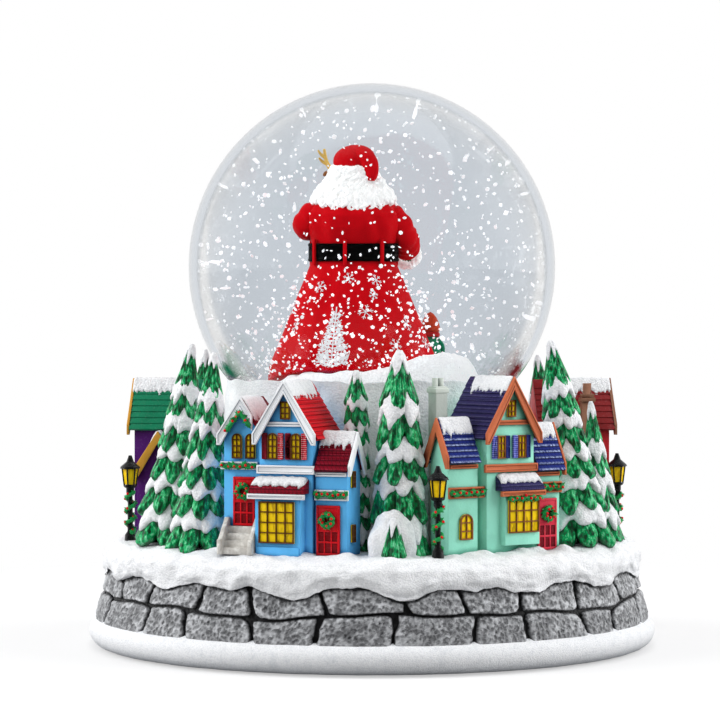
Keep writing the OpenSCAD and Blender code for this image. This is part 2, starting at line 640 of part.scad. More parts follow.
// House kit. In a house's own frame x runs along its front, y goes in towards the ball and z is height
// above the ground.
module at_house(arc) rotate([0, 0, azimuth(arc)]) translate([0, -front_r, ground_z]) children();
module into(depth) translate([0, depth, 0]) rotate([90, 0, 0]) linear_extrude(depth) children();
module across(width) translate([-width / 2, 0, 0]) rotate([90, 0, 90]) linear_extrude(width) children();

module gable_2d(w, eave, ridge)
    polygon([[-w / 2, 0], [w / 2, 0], [w / 2, eave], [0, ridge], [-w / 2, eave]]);

// Roof section with stepped tile courses on both slopes
function slope_at(w, eave, ridge, t) = [w / 2 * t, ridge + (eave - ridge) * t];
function tile_edge(w, eave, ridge, courses) = let (
    out = 1 + eave_over / (w / 2),
    n = [ridge - eave, w / 2] / norm([ridge - eave, w / 2])
) [for (i = [0:courses - 1]) each [
    slope_at(w, eave, ridge, out * i / courses) + n * roof_t * (i == 0 ? 1.2 : 1),
    slope_at(w, eave, ridge, out * (i + 1) / courses) + n * (roof_t + 0.3)
]];
module roof_2d(w, eave, ridge, courses = 7) {
    out = 1 + eave_over / (w / 2);
    edge = [for (p = tile_edge(w, eave, ridge, courses)) if (p[0] > 0.4) p];
    top = [0, ridge + roof_t * norm([ridge - eave, w / 2]) / (w / 2)];
    low = slope_at(w, eave, ridge, out) + [0, fit];
    polygon(concat([top], edge, [low, [0, ridge + fit], [-low[0], low[1]]],
        [for (i = [len(edge) - 1:-1:0]) [-edge[i][0], edge[i][1]]]));
}
// Boards that edge a gable
module barge_2d(w, eave, ridge) {
    out = 1 + eave_over / (w / 2);
    lift = roof_t * norm([ridge - eave, w / 2]) / (w / 2) + 0.35;
    low = slope_at(w, eave, ridge, out);
    polygon([[0, ridge + lift], [low[0] + 0.3, low[1] + lift], [low[0] + 0.3, low[1] - 1.3],
        [low[0] - 1, low[1] - 1.3],
        [0, ridge - 2], [-low[0] + 1, low[1] - 1.3], [-low[0] - 0.3, low[1] - 1.3],
        [-low[0] - 0.3, low[1] + lift]]);
}

// Windows are rows of x, sill height, width, height, panes across, panes up, arched, plane of the wall
pane_t = 0.5;
sash_t = 0.4;
bar_w = 0.32;
module opening_2d(w, h, arched, inset = 0) {
    r = w / 2 - inset;
    translate([-r, inset]) square([2 * r, h - 2 * inset - (arched ? r : 0)]);
    if (arched) translate([0, h - inset - r]) circle(r = r);
}
module on_wall(win) translate([win[0], win[7], win[1]]) rotate([90, 0, 0]) children();
module panes(wins) for (w = wins) on_wall(w) translate([0, 0, fit / 4]) linear_extrude(pane_t)
    opening_2d(w[2], w[3], w[6]);
module sashes(wins) for (w = wins) on_wall(w) translate([0, 0, pane_t + fit / 2]) linear_extrude(sash_t) {
    difference() {
        opening_2d(w[2], w[3], w[6]);
        opening_2d(w[2], w[3], w[6], 1.3 * bar_w);
    }
    for (i = [1:w[4] - 1]) translate([-w[2] / 2 + i * w[2] / w[4] - bar_w / 2, bar_w])
        square([bar_w, w[3] - 2 * bar_w]);
    for (i = [1:w[5] - 1]) translate([-w[2] / 2 + bar_w, i * w[3] / w[5] - bar_w / 2])
        square([w[2] - 2 * bar_w, bar_w]);
}
shutter_w = 1.7;
module shutters(wins) for (w = wins, side = [-1, 1])
    translate([w[0] + side * (w[2] / 2 + shutter_w / 2 + 0.15), w[7], w[1]])
    translate([-shutter_w / 2, -0.85, 0]) difference() {
        cube([shutter_w, 0.8, w[3]]);
        for (t = [0.06, 0.53]) translate([0.3, -0.1, w[3] * t]) cube([shutter_w - 0.6, 0.4, w[3] * 0.41]);
    }

// Panelled door with its foot at a height above the ground
module door(x, y, z, w, h) translate([x - w / 2, y - 0.85, z]) difference() {
    cube([w, 0.8, h]);
    for (i = [0:1], j = [0:1]) translate([w * (0.14 + 0.4 * i), -0.1, h * (0.06 + 0.2 * j)])
        cube([w * 0.3, 0.4, h * 0.15]);
    translate([w / 2, 0.35, h * 0.68]) rotate([90, 0, 0]) cylinder(r = w * 0.36, h = 1);
}
module board(x0, x1, y, z, h, t = trim_t) translate([x0, y - t - fit / 4, z]) cube([x1 - x0, t, h]);

// Board under the eave of a wing, whose row is middle, width, eave, ridge, front and depth
function eave_drop(wing) = eave_over * 2 * (wing[3] - wing[2]) / wing[5];
module fascia(wing, x0, x1) board(x0, x1, wing[4], wing[2] - eave_drop(wing) - 1.4, 1.3, 0.7);

// Lean-to hood over a bay window
module hood(x0, x1, y, z, deep, rise) translate([x0, y, z]) rotate([90, 0, 90]) linear_extrude(x1 - x0)
    polygon([[-fit / 2, 0], [-fit / 2, rise], [-deep * 0.45, rise * 0.75], [-deep, rise * 0.18],
        [-deep, 0]]);

// Depth that keeps a roof of a given ridge height clear of the ball
function deep_to_ball(ridge, y0 = 0) = front_r - y0 - max(ball_r(ground_z + ridge + 2),
    collar_foot_r + 0.5) - ball_gap;

// Room behind the fronts as far as the collar
deep_to_collar = front_r - collar_foot_r - 0.6;

// Blue house
blue_arc = -27;
blue_deep = min(21, deep_to_ball(53));
blue_main = [17.4, 37, 51];
blue_left = [-14.9, 12.4, 36.5, 46, 1.4];
blue_wing = [14.4, 10.2, 27.5, 35.6, 1, 11];
blue_bay = [-8.6, 6.3, 3.6, 17.6];
blue_windows = [
    [-4.2, 29, 3.3, 8, 2, 4, true, 0], [3.5, 29, 3.3, 8, 2, 4, true, 0],
    [0, 41.2, 3.2, 5.4, 2, 3, false, 0],
    [-16.6, 29, 3.2, 7.6, 2, 4, true, blue_left[4]], [-12.1, 29, 3.2, 7.6, 2, 4, true, blue_left[4]],
    [-1.4, 3.8, 11.6, 12.6, 4, 4, false, -blue_bay[2]]
];
blue_side = [[-1.4, 20.6, 2.4, 5, 2, 3, false, 0], [-1.4, 4, 2.4, 5.4, 2, 3, false, 0]];
module at_blue_side() translate([blue_wing[0] + blue_wing[1] / 2, blue_wing[4] + blue_wing[5] / 2, 0])
    rotate([0, 0, 90]) children();
module blue_house() color([0.22, 0.52, 0.8]) at_house(blue_arc) {
    into(blue_deep) gable_2d(blue_main[0], blue_main[1], blue_main[2]);
    translate([blue_left[0], blue_left[4], 0]) into(blue_deep - 4)
        gable_2d(blue_left[1], blue_left[2], blue_left[3]);
    translate([blue_wing[0], blue_wing[4] + blue_wing[5] / 2, 0]) across(blue_wing[1])
        gable_2d(blue_wing[5], blue_wing[2], blue_wing[3]);
    translate([blue_bay[0], -blue_bay[2], 0])
        cube([blue_bay[1] - blue_bay[0], blue_bay[2] + 1, blue_bay[3]]);
    translate([blue_bay[0] + 0.5, -blue_bay[2] - 0.5, 0]) cube([blue_bay[1] - blue_bay[0] - 1, 1, 2.6]);
}
module blue_house_roofs() color([0.55, 0.04, 0.08]) at_house(blue_arc) {
    difference() {
        union() {
            translate([0, -eave_over, 0]) into(blue_deep + eave_over)
                roof_2d(blue_main[0], blue_main[1], blue_main[2], 9);
            translate([blue_left[0], blue_left[4] - eave_over, 0]) into(blue_deep - 4 + eave_over)
                roof_2d(blue_left[1], blue_left[2], blue_left[3], 7);
        }
        translate([0, -9, fit / 2]) into(60) gable_2d(blue_main[0], blue_main[1], blue_main[2]);
        translate([blue_left[0], -9, fit / 2]) into(60) gable_2d(blue_left[1], blue_left[2], blue_left[3]);
        translate([blue_wing[0], blue_wing[4] + blue_wing[5] / 2, fit / 2]) across(blue_wing[1] + fit)
            gable_2d(blue_wing[5] + fit, blue_wing[2], blue_wing[3]);
    }
    translate([blue_wing[0] + fit, blue_wing[4] + blue_wing[5] / 2, 0]) difference() {
        across(blue_wing[1] + 1.2) roof_2d(blue_wing[5], blue_wing[2], blue_wing[3], 6);
        translate([-blue_wing[1] / 2 - 6 + 0.3, -20, 0]) cube([6, 40, 60]);
    }
    hood(-10.4, 7.6, 0, blue_bay[3] + 1.2, blue_bay[2] + 1.2, 4.2);
}
module blue_house_trim() color([0.92, 0.93, 0.95]) at_house(blue_arc) {
    translate([0, -eave_over - trim_t, 0]) into(trim_t - fit / 4) difference() {
        barge_2d(blue_main[0], blue_main[1], blue_main[2]);
        translate([-blue_main[0], 0]) square([blue_main[0] * 0.29, blue_main[1] - 4]);
    }
    translate([blue_left[0], blue_left[4] - eave_over - trim_t, 0]) into(trim_t - fit / 4) intersection() {
        barge_2d(blue_left[1], blue_left[2], blue_left[3]);
        translate([-20, 0]) square([20 - blue_main[0] / 2 - blue_left[0] - 2.2, 80]);
    }
    board(-6.2, 6.2, 0, 39, 1.4);
    board(-9.4, 9.6, 0, 24.6, 2.6);
    board(-22, -9.6, blue_left[4], 25.6, 2.4);
    board(-10.8, 8, -blue_bay[2] - 0.4, blue_bay[3] - 0.5, 1.6, 1.1);
    board(9.2, 20.2, blue_wing[4], 16.8, 3.2);
    fascia(blue_wing, 9.4, 19.6);
    translate([blue_wing[0] + blue_wing[1] / 2 + 0.6 + 2 * fit + trim_t / 2,
        blue_wing[4] + blue_wing[5] / 2, 0])
        across(trim_t - fit) barge_2d(blue_wing[5], blue_wing[2], blue_wing[3]);
}
module blue_house_doors() color([0.75, 0.03, 0.06]) at_house(blue_arc) {
    door(-14.2, blue_left[4], 8.4, 7.2, 15);
    door(13.6, blue_wing[4], 0.1, 7.6, 15.2);
}
module blue_house_steps() color([0.66, 0.66, 0.63]) at_house(blue_arc) {
    for (i = [0:3]) translate([-19, blue_left[4] - 1.6 * (4 - i), 0])
        cube([9.6, 1.6 * (4 - i) - fit, 2.08 * (i + 1)]);
    for (x = [-20.3, -10.2]) translate([x, blue_left[4] - fit, 0]) rotate([90, 0, 90]) linear_extrude(1.4)
        polygon([[0, 0], [0, 11], [-1.4, 11], [-6.6, 4.6], [-7.4, 4.6], [-7.4, 0]]);
}
module blue_house_panes() color([0.98, 0.8, 0.1]) at_house(blue_arc) {
    panes(blue_windows);
    at_blue_side() panes(blue_side);
}
module blue_house_sashes() color([0.35, 0.2, 0.08]) at_house(blue_arc) {
    sashes(blue_windows);
    at_blue_side() sashes(blue_side);
}
module blue_house_shutters() color([0.5, 0.05, 0.1]) at_house(blue_arc)
    shutters([blue_windows[0], blue_windows[1]]);

// Mint house
mint_arc = 45;
mint_deep = min(21, deep_to_ball(54));
mint_main = [18.4, 37, 52];
mint_left = [-17, 11.2, 30.4, 39.4, 1.6, 9];
mint_right = [15, 10.4, 27.4, 37, 1, 9];
mint_bay = [-3.8, 9.6, 2.4, 18];
mint_windows = [
    [-4, 29, 3, 7, 2, 3, false, 0], [4, 29, 3, 7, 2, 3, false, 0], [0, 41.6, 3.2, 5.2, 2, 3, false, 0],
    [-16.2, 4.6, 4.8, 7.8, 2, 3, true, mint_left[4]], [2.9, 6.2, 11.8, 10.2, 4, 3, false, -mint_bay[2]]
];
module mint_house() color([0.36, 0.75, 0.62]) at_house(mint_arc) {
    into(mint_deep) gable_2d(mint_main[0], mint_main[1], mint_main[2]);
    for (wing = [mint_left, mint_right]) translate([wing[0], wing[4] + wing[5] / 2, 0]) across(wing[1])
        gable_2d(wing[5], wing[2], wing[3]);
    translate([mint_bay[0], -mint_bay[2], 2.4])
        cube([mint_bay[1] - mint_bay[0], mint_bay[2] + 1, mint_bay[3] - 2.4]);
}
module mint_house_roofs() color([0.09, 0.09, 0.3]) at_house(mint_arc) {
    difference() {
        translate([0, -eave_over, 0]) into(mint_deep + eave_over)
            roof_2d(mint_main[0], mint_main[1], mint_main[2], 9);
        for (wing = [mint_left, mint_right]) translate([wing[0], wing[4] + wing[5] / 2, 0]) across(wing[1])
            gable_2d(wing[5], wing[2], wing[3]);
    }
    for (wing = [mint_left, mint_right]) let (out = wing[0] < 0 ? -1 : 1)
        translate([wing[0] + out * fit, wing[4] + wing[5] / 2, 0]) difference() {
            across(wing[1] + 1.2) roof_2d(wing[5], wing[2], wing[3], 6);
            translate([-out * (wing[1] / 2 + 3) - 3 + out * 0.3, -20, 0]) cube([6, 40, 60]);
            translate([-1.2 - out * fit, mint_stack_y - wing[4] - wing[5] / 2, 0])
                translate([-2.3, -2.1, 0])
                cube([4.6, 4.2, 60]);
        }
    hood(-5.8, 10.6, 0, mint_bay[3] + 1.2, mint_bay[2] + 1.2, 4.4);
}
module mint_house_trim() color([0.6, 0.3, 0.18]) at_house(mint_arc) {
    translate([0, -eave_over - trim_t, 0]) into(trim_t - fit / 4)
        barge_2d(mint_main[0], mint_main[1], mint_main[2]);
    board(-6.7, 6.7, 0, 39.2, 1.5);
    board(-10.4, 10.2, 0, 24.8, 2.5);
    board(-6.2, 11, -mint_bay[2] - 0.4, mint_bay[3] - 0.5, 1.6, 1.1);
    board(-22.9, -9.3, mint_left[4], 17.2, 3.4);
    board(9.8, 20.6, mint_right[4], 17.8, 3.4);
    for (wing = [mint_left, mint_right]) let (out = wing[0] < 0 ? -1 : 1) {
        translate([wing[0] + out * (wing[1] / 2 + 0.6 + 2 * fit + trim_t / 2), wing[4] + wing[5] / 2, 0])
            across(trim_t - fit) barge_2d(wing[5], wing[2], wing[3]);
        fascia(wing, wing[0] - wing[1] / 2 + 0.3, wing[0] + wing[1] / 2 - 0.3);
    }
}
module mint_house_doors() color([0.72, 0.13, 0.2]) at_house(mint_arc)
    door(14.9, mint_right[4], 0.1, 7.4, 16);
mint_stack_y = min(mint_left[4] + mint_left[5] + 2.2, deep_to_collar - 2.4);
module at_mint_chimney() translate([mint_left[0] - 1.2, mint_stack_y, 0]) children();
module mint_house_chimney() color([0.68, 0.73, 0.7]) at_house(mint_arc)
    at_mint_chimney() {
        translate([-2.2, -2, 0]) cube([4.4, 4, 51]);
        translate([-2.6, -2.4, 49]) cube([5.2, 4.8, 1.4]);
        for (x = [-1.1, 1.1]) translate([x, 0, 51]) cylinder(r = 0.9, h = 2.6);
    }
module mint_house_panes() color([0.98, 0.8, 0.1]) at_house(mint_arc) panes(mint_windows);
module mint_house_sashes() color([0.42, 0.24, 0.12]) at_house(mint_arc) sashes(mint_windows);
module mint_house_shutters() color([0.16, 0.16, 0.48]) at_house(mint_arc)
    shutters([mint_windows[0], mint_windows[1]]);

// Side houses: a gable front with one cross wing towards the blue or the mint house
side_main = [17, 37, 50];
side_wing = [14, 22, 33];
// How far the side houses stand out from the ring of fronts
side_out = 4.6;
side_deep = min(24, deep_to_ball(52) + side_out);
side_wing_y = 2;
red_wing_y = 11.5;
module at_side(arc) at_house(arc) translate([0, -side_out, 0]) children();
module side_walls(hand, wing_y = side_wing_y) {
    into(side_deep) gable_2d(side_main[0], side_main[1], side_main[2]);
    translate([hand * 7, wing_y, 0]) mirror([hand < 0 ? 1 : 0, 0, 0])
        translate([2.6, side_wing[0] / 2, 0]) across(7)
        gable_2d(side_wing[0], side_wing[1], side_wing[2]);
}
module side_roofs(hand, wing_y = side_wing_y) {
    difference() {
        translate([0, -eave_over, 0]) into(side_deep + eave_over)
            roof_2d(side_main[0], side_main[1], side_main[2], 8);
        translate([hand * 7, wing_y, 0]) mirror([hand < 0 ? 1 : 0, 0, 0])
            translate([2.6, side_wing[0] / 2, 0]) across(7)
            gable_2d(side_wing[0], side_wing[1], side_wing[2]);
    }
    translate([hand * (side_main[0] / 2 + 2.9), wing_y + side_wing[0] / 2, 0])
        across(5.4) roof_2d(side_wing[0], side_wing[1], side_wing[2], 6);
}
module side_trim(hand, wing_y = side_wing_y) {
    translate([0, -eave_over - trim_t, 0]) into(trim_t - fit / 4)
        barge_2d(side_main[0], side_main[1], side_main[2]);
    translate([hand * (side_main[0] / 2 + 5.6 + fit + trim_t / 2), wing_y + side_wing[0] / 2, 0])
        across(trim_t - fit) barge_2d(side_wing[0], side_wing[1], side_wing[2]);
    board(-side_main[0] / 2 - 0.4, side_main[0] / 2 + 0.4, 0, 21, 2);
    for (x = [-4.6, 0.8]) translate([x, 0, 24]) rotate([90, 0, 0]) translate([0, 0, fit / 4])
        linear_extrude(0.7) difference() {
        square([3.8, 7]);
        translate([0.5, 0.5]) square([1.2, 6]);
        translate([2.1, 0.5]) square([1.2, 6]);
    }
    translate([-3.2, -0.8, 0.1]) cube([6.4, 0.8 - fit / 4, 14]);
}
purple_arc = -124;
red_arc = 124;
module purple_house() color([0.24, 0.05, 0.3]) at_side(purple_arc) side_walls(1);
module purple_house_roofs() color([0.03, 0.42, 0.28]) at_side(purple_arc) side_roofs(1);
module purple_house_trim() color([0.72, 0.48, 0.16]) at_side(purple_arc) side_trim(1);
module red_house() color([0.78, 0.1, 0.12]) at_side(red_arc) side_walls(-1, red_wing_y);
module at_red_chimney() translate([-side_main[0] / 2 - 2.2, red_wing_y - 3.5, 0]) children();
module red_house_roofs() color([0.5, 0.09, 0.1]) at_side(red_arc) difference() {
    side_roofs(-1, red_wing_y);
    at_red_chimney() translate([-2.1, -2.1, 0]) cube([4, 4.2, 60]);
}
module red_house_trim() color([0.5, 0.32, 0.24]) at_side(red_arc) {
    side_trim(-1, red_wing_y);
    at_red_chimney() {
        translate([-2, -2, 0]) cube([3.8, 4, 47]);
        translate([-2.4, -2.4, 44.6]) cube([4.4, 4.8, 1.2]);
        cylinder(r = 1.4, h = 50.5);
    }
}

// Lamp posts by arc along the fronts and by distance in from the edge of the flat ground
lamps = [[-100, 2.9], [17.8, 1.9], [113, 2.2]];
lantern_h = 9;
module at_lamps() for (l = lamps) rotate([0, 0, azimuth(l[0])])
    translate([0, l[1] - plateau_r, ground_z]) children();
module lamp_posts() color([0.06, 0.06, 0.07]) at_lamps() {
    rotate_extrude() polygon([
        [0, 0], [1.9, 0], [1.7, 2], [0.9, 3.2], [0.75, post_h - 2.4], [1.3, post_h - 1.4], [1.3, post_h],
        [2, post_h + 0.4], [2, post_h + 1], [1.1, post_h + 1], [1.1, post_h + lantern_h - 2.6],
        [3.3, post_h + lantern_h - 2.6], [3.1, post_h + lantern_h - 2], [1.2, post_h + lantern_h - 0.4],
        [0.5, post_h + lantern_h + 1.6], [0, post_h + lantern_h + 1.6]
    ]);
    for (a = [30:60:330]) rotate([0, 0, a])
        limb([1.9, 0, post_h + 0.8], [2.6, 0, post_h + lantern_h - 2.4], 0.26, 0.26);
}
module lamp_panes() color([0.98, 0.76, 0.08]) at_lamps() for (a = [0:60:300]) rotate([0, 0, a])
    rotate([90, 0, 0]) translate([0, 0, 0]) linear_extrude(0.5, center = true)
        polygon([[1.25, post_h + 1.3], [1.62, post_h + 1.3], [2.2, post_h + lantern_h - 2.9],
            [1.25, post_h + lantern_h - 2.9]]);

// Pines: tiers of lobed boughs, each tier hooded by the one above
lobes = 8;
ring_n = 2 * lobes;
function bough_ring(r, z, notch, droop, turn) = [for (j = [0:ring_n - 1]) let (
    a = j * 360 / ring_n + turn,
    tip = j % 2 == 0 ? 1 : 1 - notch
) [r * tip * cos(a), r * tip * sin(a), z - (j % 2 == 0 ? droop : 0)]];
function tier_r(r, crown, i, tiers) = r * (i < tiers ? 1 - (1 - crown) * i / (tiers - 1) : crown * 0.55);
function pine_rings(h, r, tiers, crown) = concat(
    [bough_ring(r * 0.5, 0, 0, 0, 0)],
    [for (i = [0:tiers - 1]) let (
        low = h * (0.025 + 0.875 * i / tiers),
        high = h * (0.025 + 0.875 * (i + 1) / tiers),
        rr = tier_r(r, crown, i, tiers),
        next = tier_r(r, crown, i + 1, tiers),
        turn = i * 360 / ring_n
    ) each [
        bough_ring(rr, low + 0.09 * (high - low) + h * 0.012, 0.2, h * 0.012, turn),
        bough_ring(rr * 0.88, between(low, high, 0.5), 0.12, 0, turn),
        bough_ring(next * 0.78, between(low, high, 0.97), 0.05, 0, turn)
    ]],
    [bough_ring(r * crown * 0.34, h * 0.95, 0, 0, 0), bough_ring(r * crown * 0.12, h, 0, 0, 0)]);
module pine(h, r, tiers, crown) {
    rings = pine_rings(h, r, tiers, crown);
    polyhedron([for (ring = rings) each ring], skin_faces(len(rings), ring_n), convexity = 8);
}
// Each pine is its arc, distance out from the ring of fronts, share of the tallest, share of its radius,
// tiers, lean, and the share of its radius that the top tier keeps
tall_pine_rows = [
    [9.2, -8.5, 1, 1.16, 4, 0, 0.56], [-61.5, -0.5, 0.98, 1.28, 5, 6, 0.36],
    [-80.5, 0, 1.02, 1.35, 5, 8, 0.36],
    [81, 0.5, 1.04, 1.35, 5, 9, 0.42], [157, 0, 0.95, 1.2, 5, 5, 0.36], [-157, 0, 0.98, 1.2, 5, 5, 0.36],
    [5.6, 1.8, 0.24, 0.8, 2, 0, 0.6]
];
small_pine_rows = [
    [-6.4, -16.5, 0.88, 0.48, 4, 0, 0.95], [101.5, 2, 0.72, 0.98, 4, 4, 0.4],
    [178, 1, 0.7, 0.95, 4, 3, 0.4],
    [-178, 1, 0.66, 0.95, 4, 3, 0.4]
];
function pine_at(p) = max(front_r + p[1], collar_foot_r + 1.2 + pine_r * p[3]);
module pines(rows) for (p = rows) rotate([0, 0, azimuth(p[0])]) translate([0, -pine_at(p), ground_z])
    rotate([-p[5], 0, 0]) translate([0, 0, p[5] * pine_r * p[3] * 0.0095])
        pine(pine_h * p[2], pine_r * p[3], p[4], p[6]);
module tall_pines() color([0.02, 0.36, 0.16]) pines(tall_pine_rows);
module small_pines() color([0.03, 0.4, 0.18]) pines(small_pine_rows);

glass_globe();
water();
snow_flakes();
stopper();
snow_mound();
santa_robe();
santa_belt();
santa_hat();
santa_fur();
santa_hair();
santa_face();
santa_mittens();
toy_reindeer();
toy_antlers();
toy_doll();
base_casting();
upper_stones();
lower_stones();
snow_rim();
snow_bank();
globe_collar();
bottom_cover();
felt_ring();
cover_screws();
movement_bedplate();
spring_barrel();
mainspring();
note_comb();
movement_screws();
governor_housing();
winding_arbor();
winding_key();
tune_cylinder();
cylinder_arbor();
blue_house();
blue_house_roofs();
blue_house_trim();
blue_house_doors();
blue_house_steps();
blue_house_panes();
blue_house_sashes();
blue_house_shutters();
mint_house();
mint_house_roofs();
mint_house_trim();
mint_house_doors();
mint_house_chimney();
mint_house_panes();
mint_house_sashes();
mint_house_shutters();
purple_house();
purple_house_roofs();
purple_house_trim();
red_house();
red_house_roofs();
red_house_trim();
lamp_posts();
lamp_panes();
tall_pines();
small_pines();
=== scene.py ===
"""Musical snow globe with a village round its base: the looks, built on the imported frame."""

import random
from math import asin, atan2, cos, degrees, exp, hypot, inf, pi, radians, sin, sqrt, tau

import bmesh
import bpy
from mathutils import Matrix, Vector, noise


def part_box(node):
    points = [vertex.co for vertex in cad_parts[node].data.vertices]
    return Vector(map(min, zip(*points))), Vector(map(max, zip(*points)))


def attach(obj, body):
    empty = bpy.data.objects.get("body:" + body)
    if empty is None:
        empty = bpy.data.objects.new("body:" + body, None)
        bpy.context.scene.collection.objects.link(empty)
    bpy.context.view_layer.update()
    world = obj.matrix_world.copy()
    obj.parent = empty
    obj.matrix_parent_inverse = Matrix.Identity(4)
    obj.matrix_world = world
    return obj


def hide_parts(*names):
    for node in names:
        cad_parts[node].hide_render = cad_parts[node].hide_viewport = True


bl_info = {
    "name": "Snow globe with a village base",
    "version": (1, 0, 0),
    "blender": (4, 5, 0),
    "location": "3D View > Sidebar > Snow Globe",
    "description": "Dresses the packed snow globe: ball, figure, stones, snow, pines and houses",
    "category": "Object",
}

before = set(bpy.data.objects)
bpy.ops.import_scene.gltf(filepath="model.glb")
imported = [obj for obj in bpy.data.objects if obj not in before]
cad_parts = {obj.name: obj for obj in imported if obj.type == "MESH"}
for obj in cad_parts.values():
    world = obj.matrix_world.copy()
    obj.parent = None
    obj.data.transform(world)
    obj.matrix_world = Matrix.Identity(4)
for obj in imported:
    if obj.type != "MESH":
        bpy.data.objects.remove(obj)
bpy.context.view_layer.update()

# Lengths are in millimetres until a piece is finished
MM = 0.001


def box_mm(node):
    """Lowest and highest corner of a frame node, in millimetres."""
    low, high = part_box(node)
    return Vector(low) / MM, Vector(high) / MM


GLASS_TOP = box_mm("glass_globe")[1].z
BALL_R = (box_mm("glass_globe")[1].x - box_mm("glass_globe")[0].x) / 2
BALL_Z = GLASS_TOP - BALL_R
BALL_ROWS = 72
BALL_STEPS = 144
NECK_Z = box_mm("glass_globe")[0].z
GLASS_WALL = 2.5
NECK_R = 34.0
NECK_BORE = NECK_R - GLASS_WALL
WATER_GAP = 0.12
PLUG_TOP = box_mm("stopper")[1].z
MOUND_R = box_mm("snow_mound")[1].x
FIGURE_H = 56.0
HEM_DROP = 0.05 * FIGURE_H
MOUND_TOP = box_mm("santa_robe")[0].z
HEM_Z = MOUND_TOP + HEM_DROP
FIGURE_X = -4.5
FIGURE_Y = 1.0
HEM_R = 21.0
WAIST_R = 10.4
WAIST_T = 0.486
BELT_T = 0.085
HEAD_T = 0.845
GROUND = box_mm("snow_bank")[1].z
DECK_Z = 28.5
STONE_FOOT_R = 90.5
STONE_PROUD = 1.2
STONE_LEAN = 5.5
RIM_H = 8.4
RIM_TUBE = 5.0
RIM_R = STONE_FOOT_R + 2.0 - RIM_TUBE
FOOT_R = 86.2
COURSE_TOP = DECK_Z - 2.0
COURSE_MID = (RIM_H + COURSE_TOP) / 2
JOINT_W = 1.1
PLATEAU_R = STONE_FOOT_R - 8.0
FRONT_R = STONE_FOOT_R - 17.5
COLLAR_FOOT_R = 51.0
COLLAR_TOP_R = 46.5
COLLAR_TOP_Z = 85.0
EAVE_OVER = 1.4
ROOF_T = 0.9
COURSES = 7
WREATH_R = 1.75
WREATH_W = 1.9
WREATH_T = 0.71
GARLAND_W = 1.6
BERRY_R = 0.46
LEAF, BERRY = 0, 1
POST_H = 17.0
LANTERN_H = 9.0
POST_VINE = 1.35
PINE_H = 62.0
PINE_R = 9.0

UPPER_JOINTS = (
    -65, -52, -37, -25, -10, 6, 18, 31, 46, 62, 77, 93, 111, 126, 143, 158, 176, 192, 207, 224, 240, 257,
    276,
)
LOWER_JOINTS = (
    -71, -52, -40, -24, -11, 4, 20, 31.5, 47, 57, 72, 90, 104, 121, 135, 152, 168, 183, 199, 214, 231, 247,
    262, 277,
)
# Drips of the snow lip: azimuth, half width in degrees and how far it hangs
DRIPS = (
    (-66, 9, 2.4), (-47, 9, 2.6), (-31, 7, 1.4), (-16.5, 9, 3.6), (6.3, 8, 4.0), (20, 7, 1.2), (33, 9, 2.6),
    (55, 10, 3.0), (78, 11, 2.6), (99, 10, 3.4), (121, 11, 2.2), (142, 10, 3.4), (166, 12, 2.6),
    (189, 10, 3.6), (211, 11, 2.4), (233, 10, 3.2), (254, 10, 2.4), (275, 9, 3.2),
)
# Pines: arc, distance out from the fronts, share of height, share of radius, tiers, lean in degrees and the
# share of its radius that the top tier keeps
TALL_PINES = (
    (9.2, -8.5, 1.0, 1.16, 5, 0, 0.66), (-61.5, -0.5, 0.98, 1.28, 6, 6, 0.36),
    (-80.5, 0, 1.02, 1.35, 6, 8, 0.36), (81, 0.5, 1.04, 1.35, 6, 9, 0.42), (157, 0, 0.95, 1.2, 6, 5, 0.36),
    (-157, 0, 0.98, 1.2, 6, 5, 0.36), (5.6, 1.8, 0.24, 0.8, 1, 0, 0.6),
)
SMALL_PINES = (
    (-6.4, -16.5, 0.9, 0.56, 8, 0, 0.82), (101.5, 2, 0.72, 0.98, 4, 4, 0.4), (178, 1, 0.7, 0.95, 4, 3, 0.4),
    (-178, 1, 0.66, 0.95, 4, 3, 0.4),
)
# Lamps: arc and distance in from the edge of the flat snow
LAMPS = ((-100, 2.9), (17.8, 1.9), (113, 2.2))
BLUE_ARC = -27.0
MINT_ARC = 45.0
PURPLE_ARC = -124.0
RED_ARC = 124.0
SIDE_OUT = 4.6
PURPLE_WING_Y = 2.0
RED_WING_Y = 11.5
# Arms by shoulder, elbow and wrist: x, y and share of the figure's height
ARMS = (
    ((-8.2, 0.2, 0.69), (-11.3, 1.6, 0.645), (-7.4, 11.6, 0.68)),
    ((8.0, 0.2, 0.685), (12.0, 1.8, 0.595), (12.6, 9.4, 0.54)),
)
DEER_X = -3.3
DEER_Y = 12.9
DOLL_WAY = radians(44)
DOLL_Z = HEM_Z + 3.2
DOLL_OFF = HEM_R + 3.9
GOLDEN_TURN = 2.39996


def srgb(red, green, blue):
    """Linear colour from the 0 to 255 values that a screen shows."""
    out = []
    for value in (red, green, blue):
        share = value / 255
        out.append(share / 12.92 if share <= 0.04045 else ((share + 0.055) / 1.055) ** 2.4)
    return tuple(out)


def rgba(colour):
    """Colour with a full alpha."""
    return (colour[0], colour[1], colour[2], 1.0)


